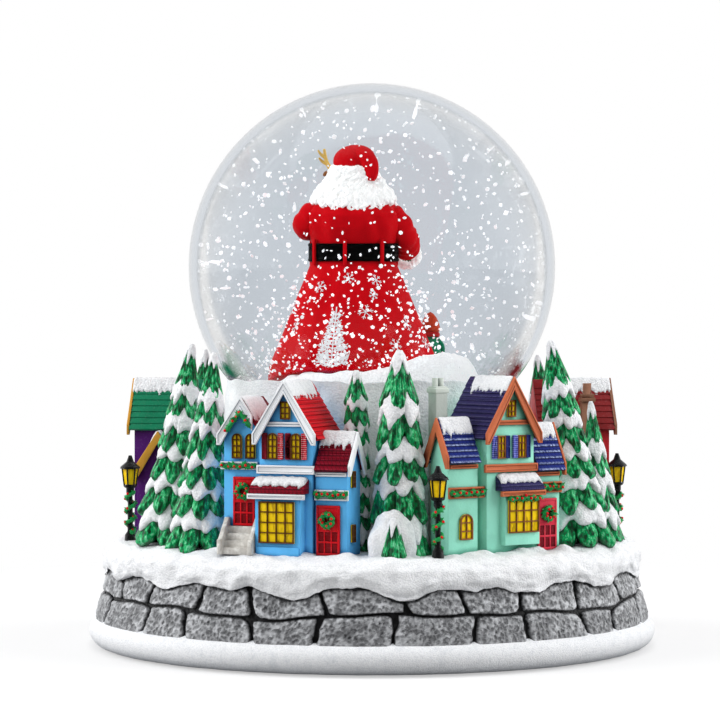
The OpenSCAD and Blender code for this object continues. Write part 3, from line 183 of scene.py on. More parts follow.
class SnowGlobeSizes(bpy.types.PropertyGroup):
    """Sizes and counts of the dressing."""

    flake_count: bpy.props.IntProperty(
        name="Flakes", description="Loose flakes in the water", default=1900, min=100, max=4000
    )
    flake_span: bpy.props.FloatProperty(
        name="Flake size", description="Width of a large flake", default=0.001, min=0.0003, max=0.002,
        unit="LENGTH"
    )
    stone_relief: bpy.props.FloatProperty(
        name="Stone relief", description="Depth of the chiselled relief", default=0.0009, min=0, max=0.002,
        unit="LENGTH"
    )
    snow_lump: bpy.props.FloatProperty(
        name="Snow unevenness", description="Rise and fall of the snow", default=0.0004, min=0, max=0.001,
        unit="LENGTH"
    )
    edge_round: bpy.props.FloatProperty(
        name="Edge rounding", description="Rounding of the cast edges of the houses", default=0.00016,
        min=0.00005, max=0.0004, unit="LENGTH"
    )


class SnowGlobeColours(bpy.types.PropertyGroup):
    """Paint colours."""

    robe: bpy.props.FloatVectorProperty(
        name="Robe", description="Red of the robe and cap", default=srgb(206, 4, 18), subtype="COLOR", min=0,
        max=1
    )
    blue_wall: bpy.props.FloatVectorProperty(
        name="Blue wall", description="Walls of the blue house", default=srgb(98, 190, 250), subtype="COLOR",
        min=0, max=1
    )
    mint_wall: bpy.props.FloatVectorProperty(
        name="Mint wall", description="Walls of the mint house", default=srgb(162, 240, 216),
        subtype="COLOR", min=0, max=1
    )
    purple_wall: bpy.props.FloatVectorProperty(
        name="Purple wall", description="Walls of the purple house", default=srgb(84, 24, 112),
        subtype="COLOR", min=0, max=1
    )
    red_wall: bpy.props.FloatVectorProperty(
        name="Red wall", description="Walls of the red house", default=srgb(196, 34, 44), subtype="COLOR",
        min=0, max=1
    )
    pine: bpy.props.FloatVectorProperty(
        name="Pine", description="Green of the boughs", default=srgb(10, 196, 112), subtype="COLOR",
        min=0, max=1
    )
    snow: bpy.props.FloatVectorProperty(
        name="Snow", description="White of the snow", default=srgb(247, 248, 250), subtype="COLOR",
        min=0, max=1
    )
    stone: bpy.props.FloatVectorProperty(
        name="Stone", description="Light grey of the stones", default=srgb(212, 214, 218), subtype="COLOR",
        min=0, max=1
    )


def sizes():
    """Sizes of the dressing."""
    return bpy.context.scene.snow_globe_sizes


def colours():
    """Paint colours."""
    return bpy.context.scene.snow_globe_colours


# Shader helpers

COLOUR = "NodeSocketColor"
VALUE = "NodeSocketFloat"
DIRECTION = "NodeSocketVector"
WHITE = (1.0, 1.0, 1.0, 1.0)
BLACK = (0.0, 0.0, 0.0, 1.0)


def join(tree, node, links):
    """Links or fills the sockets of a shader node."""
    for key, value in links.items():
        if isinstance(value, bpy.types.NodeSocket):
            tree.links.new(value, node.inputs[key])
        else:
            node.inputs[key].default_value = value


def wire(tree, kind, links=None, **settings):
    """Adds a shader node, sets it up and links or fills its sockets."""
    node = tree.nodes.new(kind)
    for key, value in settings.items():
        setattr(node, key, value)
    join(tree, node, links or {})
    return node


def effect(name, inputs):
    """Starts a shader node group that gives a colour, a roughness and a height."""
    group = bpy.data.node_groups.new(name, "ShaderNodeTree")
    for label, kind, value in inputs:
        group.interface.new_socket(name=label, in_out="INPUT", socket_type=kind).default_value = value
    for label, kind in (("Colour", COLOUR), ("Roughness", VALUE), ("Height", VALUE)):
        group.interface.new_socket(name=label, in_out="OUTPUT", socket_type=kind)
    place = group.nodes.new("ShaderNodeTexCoord").outputs["Object"]
    return group, group.nodes.new("NodeGroupInput").outputs, place


def give(group, colour, rough, height):
    """Ends a shader node group with its three results."""
    wire(group, "NodeGroupOutput", {"Colour": colour, "Roughness": rough, "Height": height})
    return group


def blend_colours(tree, share, first, second):
    """Mixes two colours and returns the result."""
    return wire(tree, "ShaderNodeMix", {0: share, 6: first, 7: second}, data_type="RGBA").outputs[2]


def layered(tree, colour, *coats):
    """Lays coats, each a share and a colour, over a first colour."""
    for share, coat in coats:
        colour = blend_colours(tree, share, colour, coat)
    return colour


def blend_values(tree, share, first, second):
    """Mixes two values and returns the result."""
    return wire(tree, "ShaderNodeMix", {0: share, 2: first, 3: second}, data_type="FLOAT").outputs[0]


def stretch(tree, value, low, high, to_low=0.0, to_high=1.0):
    """Maps a value from one range to another."""
    ends = {"Value": value, "From Min": low, "From Max": high, "To Min": to_low, "To Max": to_high}
    return wire(tree, "ShaderNodeMapRange", ends).outputs["Result"]


def sum_of(tree, first, second, how="ADD"):
    """Arithmetic on two values."""
    return wire(tree, "ShaderNodeMath", {0: first, 1: second}, operation=how).outputs[0]


def product_of(tree, first, second):
    """Product of two values."""
    return sum_of(tree, first, second, "MULTIPLY")


def value_of(tree, value, how):
    """Arithmetic on one value."""
    return wire(tree, "ShaderNodeMath", {0: value}, operation=how).outputs[0]


def along_axes(tree, place, how, second=None):
    """Vector arithmetic on a place."""
    links = {0: place} if second is None else {0: place, 1: second}
    return wire(tree, "ShaderNodeVectorMath", links, operation=how).outputs


def speckle(tree, place, scale, detail, rough=0.5):
    """Outputs of a noise texture."""
    links = {"Vector": place, "Scale": scale, "Detail": detail, "Roughness": rough}
    return wire(tree, "ShaderNodeTexNoise", links).outputs


def cells(tree, place, scale):
    """Distance to the middle of the nearest cell."""
    return wire(tree, "ShaderNodeTexVoronoi", {"Vector": place, "Scale": scale}).outputs["Distance"]


def drawn_out(tree, place, length):
    """Place with its height scaled, for upright or level grain."""
    return wire(tree, "ShaderNodeMapping", {"Vector": place, "Scale": (1.0, 1.0, length)}).outputs[0]


def shade_in_hollows(tree, reach, low, high, most=1.0):
    """Mask of painted shade in the hollows: most where the sky is shut out within reach, nothing in the
    open.
    """
    sky = wire(tree, "ShaderNodeAmbientOcclusion", {"Distance": reach}, samples=6, only_local=False)
    return stretch(tree, sky.outputs["AO"], low, high, most, 0.0)


def mix_shaders(tree, share, first, second):
    """Mixes two shaders and returns the result."""
    return wire(tree, "ShaderNodeMixShader", {0: share, 1: first, 2: second}).outputs[0]


def make_hand_paint():
    """Brushed paint on cast resin: uneven coat, patches of a darker wash and painted shade in the hollows.
    """
    group, enter, place = effect("hand_paint", (
        ("Paint", COLOUR, WHITE), ("Wash", COLOUR, BLACK), ("Wash Amount", VALUE, 0.6),
        ("Broad", VALUE, 140.0), ("Fine", VALUE, 1500.0), ("Gloss", VALUE, 0.45), ("Thin", VALUE, 0.12),
    ))
    broad = speckle(group, place, enter["Broad"], 4.0)[0]
    fine = speckle(group, place, enter["Fine"], 3.0)[0]
    # Painted shade: the darker colour is laid into the hollows where occlusion shuts out the sky
    hollow = product_of(group, shade_in_hollows(group, 0.0022, 0.25, 0.8), enter["Wash Amount"])
    patch = stretch(group, broad, 0.5, 0.72, 0.0, 0.16)
    thin = product_of(group, stretch(group, fine, 0.55, 0.75), enter["Thin"])
    colour = layered(group, enter["Paint"], (hollow, enter["Wash"]), (patch, enter["Wash"]), (thin, WHITE))
    rough = sum_of(group, stretch(group, fine, 0.3, 0.7, -0.1, 0.12), enter["Gloss"])
    return give(group, colour, rough, sum_of(group, broad, product_of(group, fine, 0.5)))


def make_snow_grain():
    """Granular white coat with a cool tone in the hollows."""
    group, enter, place = effect("snow_grain", (
        ("White", COLOUR, WHITE), ("Shade", COLOUR, BLACK), ("Grain", VALUE, 1800.0), ("Hollow", VALUE, 0.5),
    ))
    grain = cells(group, place, enter["Grain"])
    soft = speckle(group, place, 420.0, 5.0)[0]
    shares = (
        product_of(group, shade_in_hollows(group, 0.005, 0.2, 0.9), enter["Hollow"]),
        stretch(group, grain, 0.25, 0.8, 0.0, 0.22), stretch(group, soft, 0.52, 0.75, 0.0, 0.2),
    )
    colour = layered(group, enter["White"], *[(share, enter["Shade"]) for share in shares])
    lumps = sum_of(group, sum_of(group, 1.0, grain, "SUBTRACT"), product_of(group, soft, 1.6))
    return give(group, colour, stretch(group, grain, 0.0, 0.8, 0.45, 0.8), lumps)


def make_chiselled_stone():
    """Hammered cast stone: painted shade in the pits and hollows, painted highlight on the rims and tops."""
    group, enter, place = effect("chiselled_stone", (
        ("Light", COLOUR, WHITE), ("Dark", COLOUR, BLACK), ("Scale", VALUE, 260.0), ("Pits", VALUE, 720.0),
        ("Carved", VALUE, 0.0),
    ))
    chips = speckle(group, place, enter["Scale"], 7.0, 0.62)
    grit = speckle(group, place, 1700.0, 3.0)[0]
    bend = wire(group, "ShaderNodeVectorMath", {0: chips["Color"], 3: 0.0014}, operation="SCALE").outputs[0]
    rims = stretch(group, cells(group, along_axes(group, place, "ADD", bend)[0], enter["Pits"]), 0.2, 0.6)
    # The relief attribute from the stones carries their painted shade and highlight
    relief_shade = wire(group, "ShaderNodeAttribute", attribute_name="relief").outputs["Fac"]
    plain = stretch(group, chips[0], 0.4, 0.66)
    shaped = sum_of(group, relief_shade, stretch(group, rims, 0.0, 1.0, -0.12, 0.12))
    tops = blend_values(group, enter["Carved"], plain, shaped)
    middle = blend_colours(group, 0.3, enter["Dark"], enter["Light"])
    colour = layered(
        group, enter["Dark"], (stretch(group, tops, -0.05, 0.3), middle),
        (stretch(group, tops, 0.4, 0.9), enter["Light"]),
        (stretch(group, grit, 0.56, 0.7, 0.0, 0.12), enter["Light"]),
        (shade_in_hollows(group, 0.0016, 0.35, 0.85, 0.85), enter["Dark"]),
    )
    fine = sum_of(group, chips[0], product_of(group, grit, 0.4))
    height = sum_of(group, fine, product_of(group, rims, 1.3))
    return give(group, colour, stretch(group, grit, 0.3, 0.7, 0.4, 0.7), height)


def make_bough_gloss():
    """Metallic green lacquer over needle ridges: ridge tops painted lighter, grooves and hollows painted
    darker as shade, painted glints on the ridge tops.
    """
    group, enter, place = effect("bough_gloss", (
        ("Light", COLOUR, WHITE), ("Dark", COLOUR, BLACK), ("Scale", VALUE, 500.0),
    ))
    needles = speckle(group, drawn_out(group, place, 0.5), enter["Scale"], 4.0, 0.6)[0]
    # Painted glint: a pale green laid on the highest needle ridges
    painted_glint = blend_colours(group, 0.5, enter["Light"], (0.55, 0.98, 0.8, 1.0))
    colour = layered(
        group, enter["Dark"], (stretch(group, needles, 0.42, 0.6), enter["Light"]),
        (stretch(group, needles, 0.57, 0.66, 0.0, 0.7), painted_glint),
        (shade_in_hollows(group, 0.004, 0.2, 0.8, 0.85), enter["Dark"]),
    )
    return give(group, colour, stretch(group, needles, 0.3, 0.7, 0.36, 0.16), needles)


def make_turned_metal():
    """Bright metal with fine scratches and a dull patina."""
    group, enter, place = effect("turned_metal", (
        ("Bright", COLOUR, WHITE), ("Dull", COLOUR, BLACK), ("Scale", VALUE, 300.0),
    ))
    scratch = speckle(group, drawn_out(group, place, 9.0), 900.0, 3.0)[0]
    patina = speckle(group, place, enter["Scale"], 5.0)[0]
    worn = stretch(group, patina, 0.48, 0.75, 0.0, 0.7)
    colour = blend_colours(group, worn, enter["Bright"], enter["Dull"])
    scored = stretch(group, scratch, 0.3, 0.7, 0.16, 0.34)
    return give(group, colour, sum_of(group, scored, stretch(group, patina, 0.4, 0.8, 0.0, 0.25)), scratch)


def make_shingles():
    """Rows of shingles by height: painted shadow under each row, painted highlight on the lower edges, gaps
    between.
    """
    group, enter, place = effect("shingles", (
        ("Paint", COLOUR, WHITE), ("Wash", COLOUR, BLACK), ("Light", COLOUR, WHITE), ("Top", VALUE, 0.08),
        ("Row", VALUE, 0.0012), ("Along", DIRECTION, (1, 1, 0)), ("Width", VALUE, 0.0012),
        ("Gaps", VALUE, 1.0), ("Brush", VALUE, 0.4),
    ))
    fine = speckle(group, place, 1300.0, 3.0)[0]
    level = wire(group, "ShaderNodeSeparateXYZ", {0: place}).outputs[2]
    rows = sum_of(group, sum_of(group, enter["Top"], level, "SUBTRACT"), enter["Row"], "DIVIDE")
    part = value_of(group, rows, "FRACT")
    run = along_axes(group, place, "DOT_PRODUCT", enter["Along"])["Value"]
    run = sum_of(group, run, enter["Width"], "DIVIDE")
    run = sum_of(group, run, product_of(group, value_of(group, rows, "FLOOR"), 0.5))
    side = value_of(group, sum_of(group, value_of(group, run, "FRACT"), 0.5, "SUBTRACT"), "ABSOLUTE")
    gap = product_of(group, stretch(group, side, 0.38, 0.48), enter["Gaps"])
    # Painted shadow under each row; the gaps are dark joints
    dark = sum_of(group, stretch(group, part, 0.06, 0.3, 0.9, 0.0), product_of(group, gap, 0.65), "MAXIMUM")
    # Painted highlight along the lower edge of each shingle
    rim = product_of(group, stretch(group, part, 0.6, 0.85), stretch(group, fine, 0.35, 0.6))
    rim = product_of(group, product_of(group, rim, sum_of(group, 1.0, gap, "SUBTRACT")), enter["Brush"])
    colour = layered(group, enter["Paint"], (dark, enter["Wash"]), (rim, enter["Light"]))
    height = sum_of(group, part, gap, "SUBTRACT")
    return give(group, colour, stretch(group, fine, 0.3, 0.7, 0.5, 0.68), height)


def make_brushed_pane():
    """Painted window pane with upright amber brush marks and painted shade in its recesses."""
    group, enter, place = effect("brushed_pane", (("Light", COLOUR, WHITE), ("Dark", COLOUR, BLACK)))
    streak = speckle(group, drawn_out(group, place, 0.22), 1150.0, 3.0)[0]
    runs = stretch(group, streak, 0.52, 0.7, 0.0, 0.6)
    share = sum_of(group, runs, shade_in_hollows(group, 0.0008, 0.3, 0.65, 0.4))
    colour = blend_colours(group, share, enter["Light"], enter["Dark"])
    return give(group, colour, stretch(group, streak, 0.3, 0.7, 0.3, 0.5), streak)


GROUPS = {}
FINISHES = {}


def build_effects():
    """Builds every shared shader effect once."""
    GROUPS.update(
        paint=make_hand_paint(), snow=make_snow_grain(), stone=make_chiselled_stone(),
        bough=make_bough_gloss(), metal=make_turned_metal(), shingle=make_shingles(),
        pane=make_brushed_pane(),
    )


def new_material(name):
    """New material with its node tree and its shader."""
    material = bpy.data.materials.new(name)
    material.use_nodes = True
    return material, material.node_tree, material.node_tree.nodes["Principled BSDF"]


def surface(name, kind, values, bump=0.2, metallic=0.0, coat=0.0, depth=0.0004, shine=0.5):
    """Material whose colour, roughness and relief come from one shared effect."""
    if name in FINISHES:
        return FINISHES[name]
    material, tree, shader = new_material(name)
    group = wire(tree, "ShaderNodeGroup", node_tree=GROUPS[kind])
    for key, value in values.items():
        socket = group.inputs[key]
        socket.default_value = rgba(value) if socket.type == "RGBA" else value
    made = group.outputs
    relief = wire(tree, "ShaderNodeBump", {"Height": made["Height"], "Strength": bump, "Distance": depth})
    join(tree, shader, {
        "Base Color": made["Colour"], "Roughness": made["Roughness"], "Metallic": metallic,
        "Coat Weight": coat, "Coat Roughness": 0.15, "Specular IOR Level": shine,
        "Normal": relief.outputs["Normal"],
    })
    FINISHES[name] = material
    return material


def paint(
    name, colour, wash=None, amount=0.6, gloss=0.42, bump=0.25, coat=0.0, fine=1500.0, broad=140.0,
    shine=0.18, thin=0.03,
):
    """Hand painted resin in one colour, with painted shade in its hollows."""
    wash = wash or tuple(part * 0.22 for part in colour)
    values = {
        "Paint": colour, "Wash": wash, "Wash Amount": amount, "Gloss": gloss, "Fine": fine, "Broad": broad,
        "Thin": thin,
    }
    return surface(name, "paint", values, bump=bump, coat=coat, shine=shine)


def snow_finish(name, colour=None, shade=srgb(156, 162, 172), grain=1800.0, hollow=0.5, bump=0.5):
    """Granular snow."""
    values = {"White": colour or colours().snow, "Shade": shade, "Grain": grain, "Hollow": hollow}
    return surface(name, "snow", values, bump=bump)


def metal(name, bright, dull):
    """Bright metal part of the movement."""
    return surface(name, "metal", {"Bright": bright, "Dull": dull}, bump=0.06, metallic=1.0)


def add_painted_glow(material, strength, colour=WHITE):
    """Gives a material a painted glow, an emission that brightens it though it is no lamp, and returns it.
    """
    shader = material.node_tree.nodes["Principled BSDF"]
    join(material.node_tree, shader, {"Emission Color": colour, "Emission Strength": strength})
    return material


def clear(name, bend, tint):
    """Clear body that lets lamps through."""
    material, tree, shader = new_material(name)
    join(tree, shader, {
        "Base Color": tint, "Roughness": 0.0, "IOR": bend, "Transmission Weight": 1.0,
        "Specular Tint": (0.4, 0.4, 0.4, 1.0),
    })
    through = wire(tree, "ShaderNodeBsdfTransparent", {"Color": tint}).outputs[0]
    shadow = tree.nodes.new("ShaderNodeLightPath").outputs["Is Shadow Ray"]
    shown = mix_shaders(tree, shadow, shader.outputs[0], through)
    tree.links.new(shown, tree.nodes["Material Output"].inputs["Surface"])
    return material


# Mesh helpers


def vec(x, y, z):
    """Vector of three numbers."""
    return Vector((x, y, z))


def ring(radius, angle, height):
    """Point by radius, angle and height round the upright axis."""
    return vec(radius * cos(angle), radius * sin(angle), height)


def soften(bm, width, segments=2):
    """Rounds every edge of a mesh."""
    bmesh.ops.bevel(
        bm, geom=bm.edges[:], offset=width, affect="EDGES", segments=segments, profile=0.5, material=-1
    )


def close_holes(bm):
    """Closes every open edge of a mesh."""
    bmesh.ops.holes_fill(bm, edges=[e for e in bm.edges if e.is_boundary], sides=0)


def spun(rows, steps, place):
    """Spins an upright line of points and moves each to place(angle, row)."""
    bm = bmesh.new()
    line = [bm.verts.new((1.0, 0.0, float(row))) for row in range(rows)]
    runs = [bm.edges.new(pair) for pair in zip(line, line[1:])]
    bmesh.ops.spin(
        bm, geom=line + runs, cent=(0, 0, 0), axis=(0, 0, 1), angle=tau, steps=steps, use_merge=True
    )
    for vert in bm.verts:
        vert.co = place(atan2(vert.co.y, vert.co.x), int(round(vert.co.z)))
    bmesh.ops.remove_doubles(bm, verts=bm.verts, dist=0.0005)
    bmesh.ops.recalc_face_normals(bm, faces=bm.faces)
    return bm


def turned(outline, steps=64, centre=(0.0, 0.0)):
    """Turns an outline of radius and height round the upright line through centre."""
    def place(angle, row):
        radius, height = outline[row]
        return vec(centre[0] + radius * cos(angle), centre[1] + radius * sin(angle), height)

    return spun(len(outline), steps, place)


def add_to(target, part, finish=0, move=None):
    """Moves a part into a larger mesh with one finish."""
    if move is not None:
        bmesh.ops.transform(part, matrix=move, verts=part.verts)
        if move.determinant() < 0:
            bmesh.ops.reverse_faces(part, faces=part.faces)
    for face in part.faces:
        face.material_index = finish
    mesh = bpy.data.meshes.new("part")
    part.to_mesh(mesh)
    part.free()
    target.from_mesh(mesh)
    bpy.data.meshes.remove(mesh)


def piece(name, bm, finishes, stands_for=(), body="globe", crease=None):
    """Finishes a mesh as a piece that rides on a body of the frame."""
    bmesh.ops.scale(bm, vec=(MM, MM, MM), verts=bm.verts)
    mesh = bpy.data.meshes.new(name)
    bm.to_mesh(mesh)
    bm.free()
    for finish in finishes:
        mesh.materials.append(finish)
    mesh.polygons.foreach_set("use_smooth", [True] * len(mesh.polygons))
    if crease is not None:
        mesh.set_sharp_from_angle(angle=radians(crease))
    obj = bpy.data.objects.new(name, mesh)
    bpy.context.scene.collection.objects.link(obj)
    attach(obj, body)
    if stands_for:
        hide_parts(*stands_for)
    return obj


def dress(node, finish):
    """Gives a frame node its finish."""
    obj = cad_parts[node]
    if not obj.material_slots:
        obj.data.materials.append(finish)
    for slot in obj.material_slots:
        slot.material = finish


def curve_through(points, steps):
    """Points of a smooth curve through the given ones."""
    points = [Vector(p) for p in points]
    out = []
    for i in range(len(points) - 1):
        a = points[max(i - 1, 0)]
        b = points[i]
        c = points[i + 1]
        d = points[min(i + 2, len(points) - 1)]
        for k in range(steps):
            t = k / steps
            bend = (2 * a - 5 * b + 4 * c - d) * t * t + (3 * b - a - 3 * c + d) * t ** 3
            out.append(0.5 * (2 * b + (c - a) * t + bend))
    out.append(points[-1])
    return out


def tube(path, radii, sides=8):
    """Round bar along a path, with a radius at each point and closed ends."""
    bm = bmesh.new()
    rim = bmesh.ops.create_circle(bm, cap_ends=True, segments=sides, radius=1.0)["verts"]
    count = len(path)
    before = vec(0, 0, 1)
    turn = Matrix.Identity(3)
    for i in range(count):
        ahead = (path[min(i + 1, count - 1)] - path[max(i - 1, 0)]).normalized()
        swing = before.rotation_difference(ahead).to_matrix()
        if i == 0:
            turn = swing
            for vert in rim:
                vert.co = turn @ (vert.co * radii[0]) + path[0]
            loop = [e for e in bm.edges]
        else:
            made = bmesh.ops.extrude_edge_only(bm, edges=loop)["geom"]
            fresh = [g for g in made if isinstance(g, bmesh.types.BMVert)]
            edges = [g for g in made if isinstance(g, bmesh.types.BMEdge)]
            loop = [edge for edge in edges if all(v in fresh for v in edge.verts)]
            share = radii[i] / radii[i - 1]
            for vert in fresh:
                vert.co = swing @ ((vert.co - path[i - 1]) * share) + path[i]
        before = ahead
    bmesh.ops.contextual_create(bm, geom=loop)
    bmesh.ops.recalc_face_normals(bm, faces=bm.faces)
    return bm


def lump(centre, radius, detail=2, rough=0.0, seed=0.0, shape=(1, 1, 1)):
    """Rounded lump with an uneven surface."""
    bm = bmesh.new()
    bmesh.ops.create_icosphere(bm, subdivisions=detail, radius=1.0)
    for vert in bm.verts:
        swell = 1 + rough * noise.noise(vert.co * 2.3 + vec(seed, seed * 0.7, 3.1))
        vert.co = Vector([vert.co[i] * shape[i] for i in range(3)]) * radius * swell + Vector(centre)
    return bm


def rounded_copy(node, width):
    """Copy of a frame node in millimetres, with its triangles joined and its edges rounded."""
    bm = bmesh.new()
    bm.from_mesh(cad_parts[node].data)
    bmesh.ops.scale(bm, vec=(1 / MM, 1 / MM, 1 / MM), verts=bm.verts)
    bmesh.ops.remove_doubles(bm, verts=bm.verts, dist=0.002)
    bmesh.ops.dissolve_limit(
        bm, angle_limit=radians(1.0), use_dissolve_boundaries=False, verts=bm.verts, edges=bm.edges
    )
    sharp = [e for e in bm.edges if len(e.link_faces) == 2 and e.calc_face_angle(0.0) > radians(25)]
    bmesh.ops.bevel(
        bm, geom=sharp, offset=width, offset_type="OFFSET", affect="EDGES", segments=2, profile=0.5,
        material=-1, clamp_overlap=True,
    )
    return bm


def smooth_step(value, low, high):
    """Rises softly from 0 at low to 1 at high."""
    share = max(0.0, min(1.0, (value - low) / (high - low)))
    return share * share * (3 - 2 * share)


def polar(azimuth, radius, height):
    """Place by azimuth from the front in degrees, radius and height."""
    turn = radians(azimuth)
    return vec(radius * sin(turn), -radius * cos(turn), height)


def stand(arc, away):
    """Frame on the snow at an arc of the fronts and a distance out: y runs in to the ball, z up."""
    return Matrix.Rotation(arc / FRONT_R, 4, "Z") @ Matrix.Translation((0, -away, GROUND))


def house_place(arc):
    """Frame of a house: x along its front, y in towards the ball, z up from the ground."""
    return stand(arc, FRONT_R)


# Ball


def arc_points(radius, start, end, steps):
    """Points of an arc of the ball, by angle from straight up in degrees."""
    out = []
    for i in range(steps + 1):
        turn = radians(start + (end - start) * i / steps)
        out.append((radius * sin(turn), BALL_Z + radius * cos(turn)))
    return out


class SNOWGLOBE_OT_ball(bpy.types.Operator):
    """Glass ball with its neck"""

    bl_idname = "snowglobe.ball"
    bl_label = "Glass ball"

    def execute(self, context):
        inner = BALL_R - GLASS_WALL
        lip = 0.4
        outline = arc_points(BALL_R, 0, 180 - degrees(asin(NECK_R / BALL_R)), BALL_ROWS)
        outline += [
            (NECK_R, NECK_Z + lip), (NECK_R - lip, NECK_Z), (NECK_BORE + lip, NECK_Z),
            (NECK_BORE, NECK_Z + lip),
        ]
        outline += arc_points(inner, 180 - degrees(asin(NECK_BORE / inner)), 0, BALL_ROWS)
        glass = clear("clear_glass", 1.5, (0.985, 0.99, 0.992, 1.0))
        piece("glass_ball", turned(outline, BALL_STEPS), [glass], ("glass_globe",))
        return {"FINISHED"}


class SNOWGLOBE_OT_water(bpy.types.Operator):
    """Water that fills the ball"""

    bl_idname = "snowglobe.water"
    bl_label = "Water"

    def execute(self, context):
        radius = BALL_R - GLASS_WALL - WATER_GAP
        bore = NECK_BORE - WATER_GAP
        outline = arc_points(radius, 0, 180 - degrees(asin(bore / radius)), BALL_ROWS)
        outline += [(bore, PLUG_TOP + 0.15), (0.0, PLUG_TOP + 0.15)]
        liquid = clear("still_water", 1.33, (0.985, 0.99, 0.995, 1.0))
        piece("still_water", turned(outline, BALL_STEPS), [liquid], ("water",))
        return {"FINISHED"}


def in_figure(x, y, z):
    """True inside the room that the figure and the mound take."""
    share = (z - HEM_Z) / FIGURE_H
    if share < -0.05:
        return hypot(x, y) < MOUND_R + 1.5 and z > BALL_Z - 60
    if share > 1.02:
        return False
    away = hypot(x - FIGURE_X, y - FIGURE_Y)
    if share < 0.43:
        return away < HEM_R + 1.6 - (HEM_R - WAIST_R) * max(share, 0) / WAIST_T
    if share < 0.78:
        return away < (14.6 if y < FIGURE_Y - 4 and abs(x - FIGURE_X) < 10 else 22.2)
    return away < 13.2


class SNOWGLOBE_OT_flakes(bpy.types.Operator):
    """Loose flakes in the water"""

    bl_idname = "snowglobe.flakes"
    bl_label = "Flakes"

    def execute(self, context):
        rng = random.Random(7)
        bm = bmesh.new()
        reach = BALL_R - GLASS_WALL - 1.6
        made = 0
        while made < sizes().flake_count:
            if rng.random() < 0.09:
                share = -0.04 + 0.56 * rng.random() ** 1.7
                turn = radians(rng.uniform(-170, -10))
                off = HEM_R + 1.8 - (HEM_R - WAIST_R) * max(share, 0) / WAIST_T + 9 * rng.random() ** 2
                place = vec(FIGURE_X + off * cos(turn), FIGURE_Y + off * sin(turn), body_z(share) - BALL_Z)
            else:
                place = Vector([rng.uniform(-reach, reach) for _ in range(3)])
                if rng.random() < (place.z + reach) / (2 * reach) * 0.45:
                    continue
            if place.length > reach or place.z + BALL_Z < PLUG_TOP + 9:
                continue
            if in_figure(place.x, place.y, place.z + BALL_Z):
                continue
            span = sizes().flake_span / MM * rng.choice((0.55, 0.7, 0.85, 1.0, 1.25))
            lean = vec(rng.uniform(-0.5, 0.5), 1.0, rng.uniform(-0.5, 0.5)).to_track_quat("Z", "Y")
            turn = lean.to_matrix().to_4x4() @ Matrix.Rotation(rng.uniform(0, tau), 4, "Z")
            squash = Matrix.Diagonal((1.0, rng.uniform(0.4, 0.95), 1, 1))
            bmesh.ops.create_cone(
                bm, cap_ends=True, segments=rng.choice((4, 5, 6)), radius1=span / 2, radius2=span / 2,
                depth=0.16, matrix=Matrix.Translation(place + vec(0, 0, BALL_Z)) @ turn @ squash,
            )
            made += 1
        white = paint("glitter_flake", (0.93, 0.94, 0.96), (0.8, 0.84, 0.9), 0.1, 0.25, 0.05)
        # Painted glow makes the flakes stand out white
        add_painted_glow(white, 0.5, (0.93, 0.97, 1.0, 1.0))
        piece("loose_flakes", bm, [white], ("snow_flakes",), crease=30)
        return {"FINISHED"}


class SNOWGLOBE_OT_mound(bpy.types.Operator):
    """Snow mound that the figure stands in"""

    bl_idname = "snowglobe.mound"
    bl_label = "Snow mound"

    def execute(self, context):
        rows = 40
        foot = PLUG_TOP + 0.2
        brow = MOUND_TOP - 6

        def place(angle, row):
            if row == 0:
                return vec(0, 0, foot)
            share = (row - 1) / (rows - 2)
            turn = degrees(angle)
            right = smooth_step(turn, -96, -34) - smooth_step(turn, 62, 128)
            if share < 0.3:
                lift = share / 0.3
                return ring(MOUND_R - 0.3 * lift, angle, foot + (brow - foot) * lift)
            run = (share - 0.3) / 0.7
            radius = (MOUND_R - 0.3) * (1 - run) ** 0.8
            crest = MOUND_TOP - 0.3 + 6.4 * right * smooth_step(radius, 17.5, 23.0)
            height = brow + (crest - brow) * sin(min(1, run * 3.4) * pi / 2)
            spot = ring(radius, angle, 4)
            height += 0.8 * noise.noise(spot * 0.22) + 0.35 * noise.noise(spot * 0.7)
            if hypot(spot.x - FIGURE_X, spot.y - FIGURE_Y) < HEM_R - 1:
                height = min(height, MOUND_TOP - 0.15)
            return ring(radius, angle, height)

        drift = snow_finish("snow_in_ball", srgb(250, 251, 252), srgb(196, 202, 210), 1300, 0.2, 0.9)
        # The drift gets a painted glow to brighten it inside the ball
        piece("snow_drift", spun(rows, 150, place), [add_painted_glow(drift, 0.26)], ("snow_mound",))
        dress("stopper", paint("stopper_rubber", (0.02, 0.02, 0.022), (0.006, 0.006, 0.006), 0.3, 0.6, 0.2))
        return {"FINISHED"}


# Figure

# Outline of the robe: share of the figure's height and radius
ROBE_LINE = (
    (-0.05, HEM_R + 0.4), (0.04, HEM_R - 0.3), (0.17, HEM_R * 0.84), (0.33, HEM_R * 0.67),
    (WAIST_T, WAIST_R), (WAIST_T + BELT_T, WAIST_R), (0.64, WAIST_R + 1.3), (0.7, WAIST_R + 1.2),
    (0.765, WAIST_R - 1.5), (0.79, 5.0),
)
BELT_LOOPS = (-151, -102.5, -52, 25, 90, 150)
# Painted flakes: angle in degrees, share of the height and length of an arm
ROBE_FLAKES = (
    (-131, 0.37, 1.6), (-64, 0.4, 1.5), (-38, 0.2, 1.8), (-152, 0.19, 1.7), (-80, 0.25, 2.0),
    (-57, 0.09, 1.8), (-14, 0.12, 1.8), (12, 0.3, 1.8), (40, 0.16, 2.0), (70, 0.33, 1.8), (96, 0.14, 2.0),
    (128, 0.3, 1.8), (158, 0.12, 1.9), (186, 0.28, 1.7), (-97, 0.41, 1.4), (-70, 0.33, 1.2),
)
# Outline of the hair: share of the height and radius
HAIR_LINE = ((0.915, 5.0), (0.885, 5.6), (0.85, 6.4), (0.815, 7.8), (0.785, 9.1), (0.765, 9.7), (0.755, 9.2))
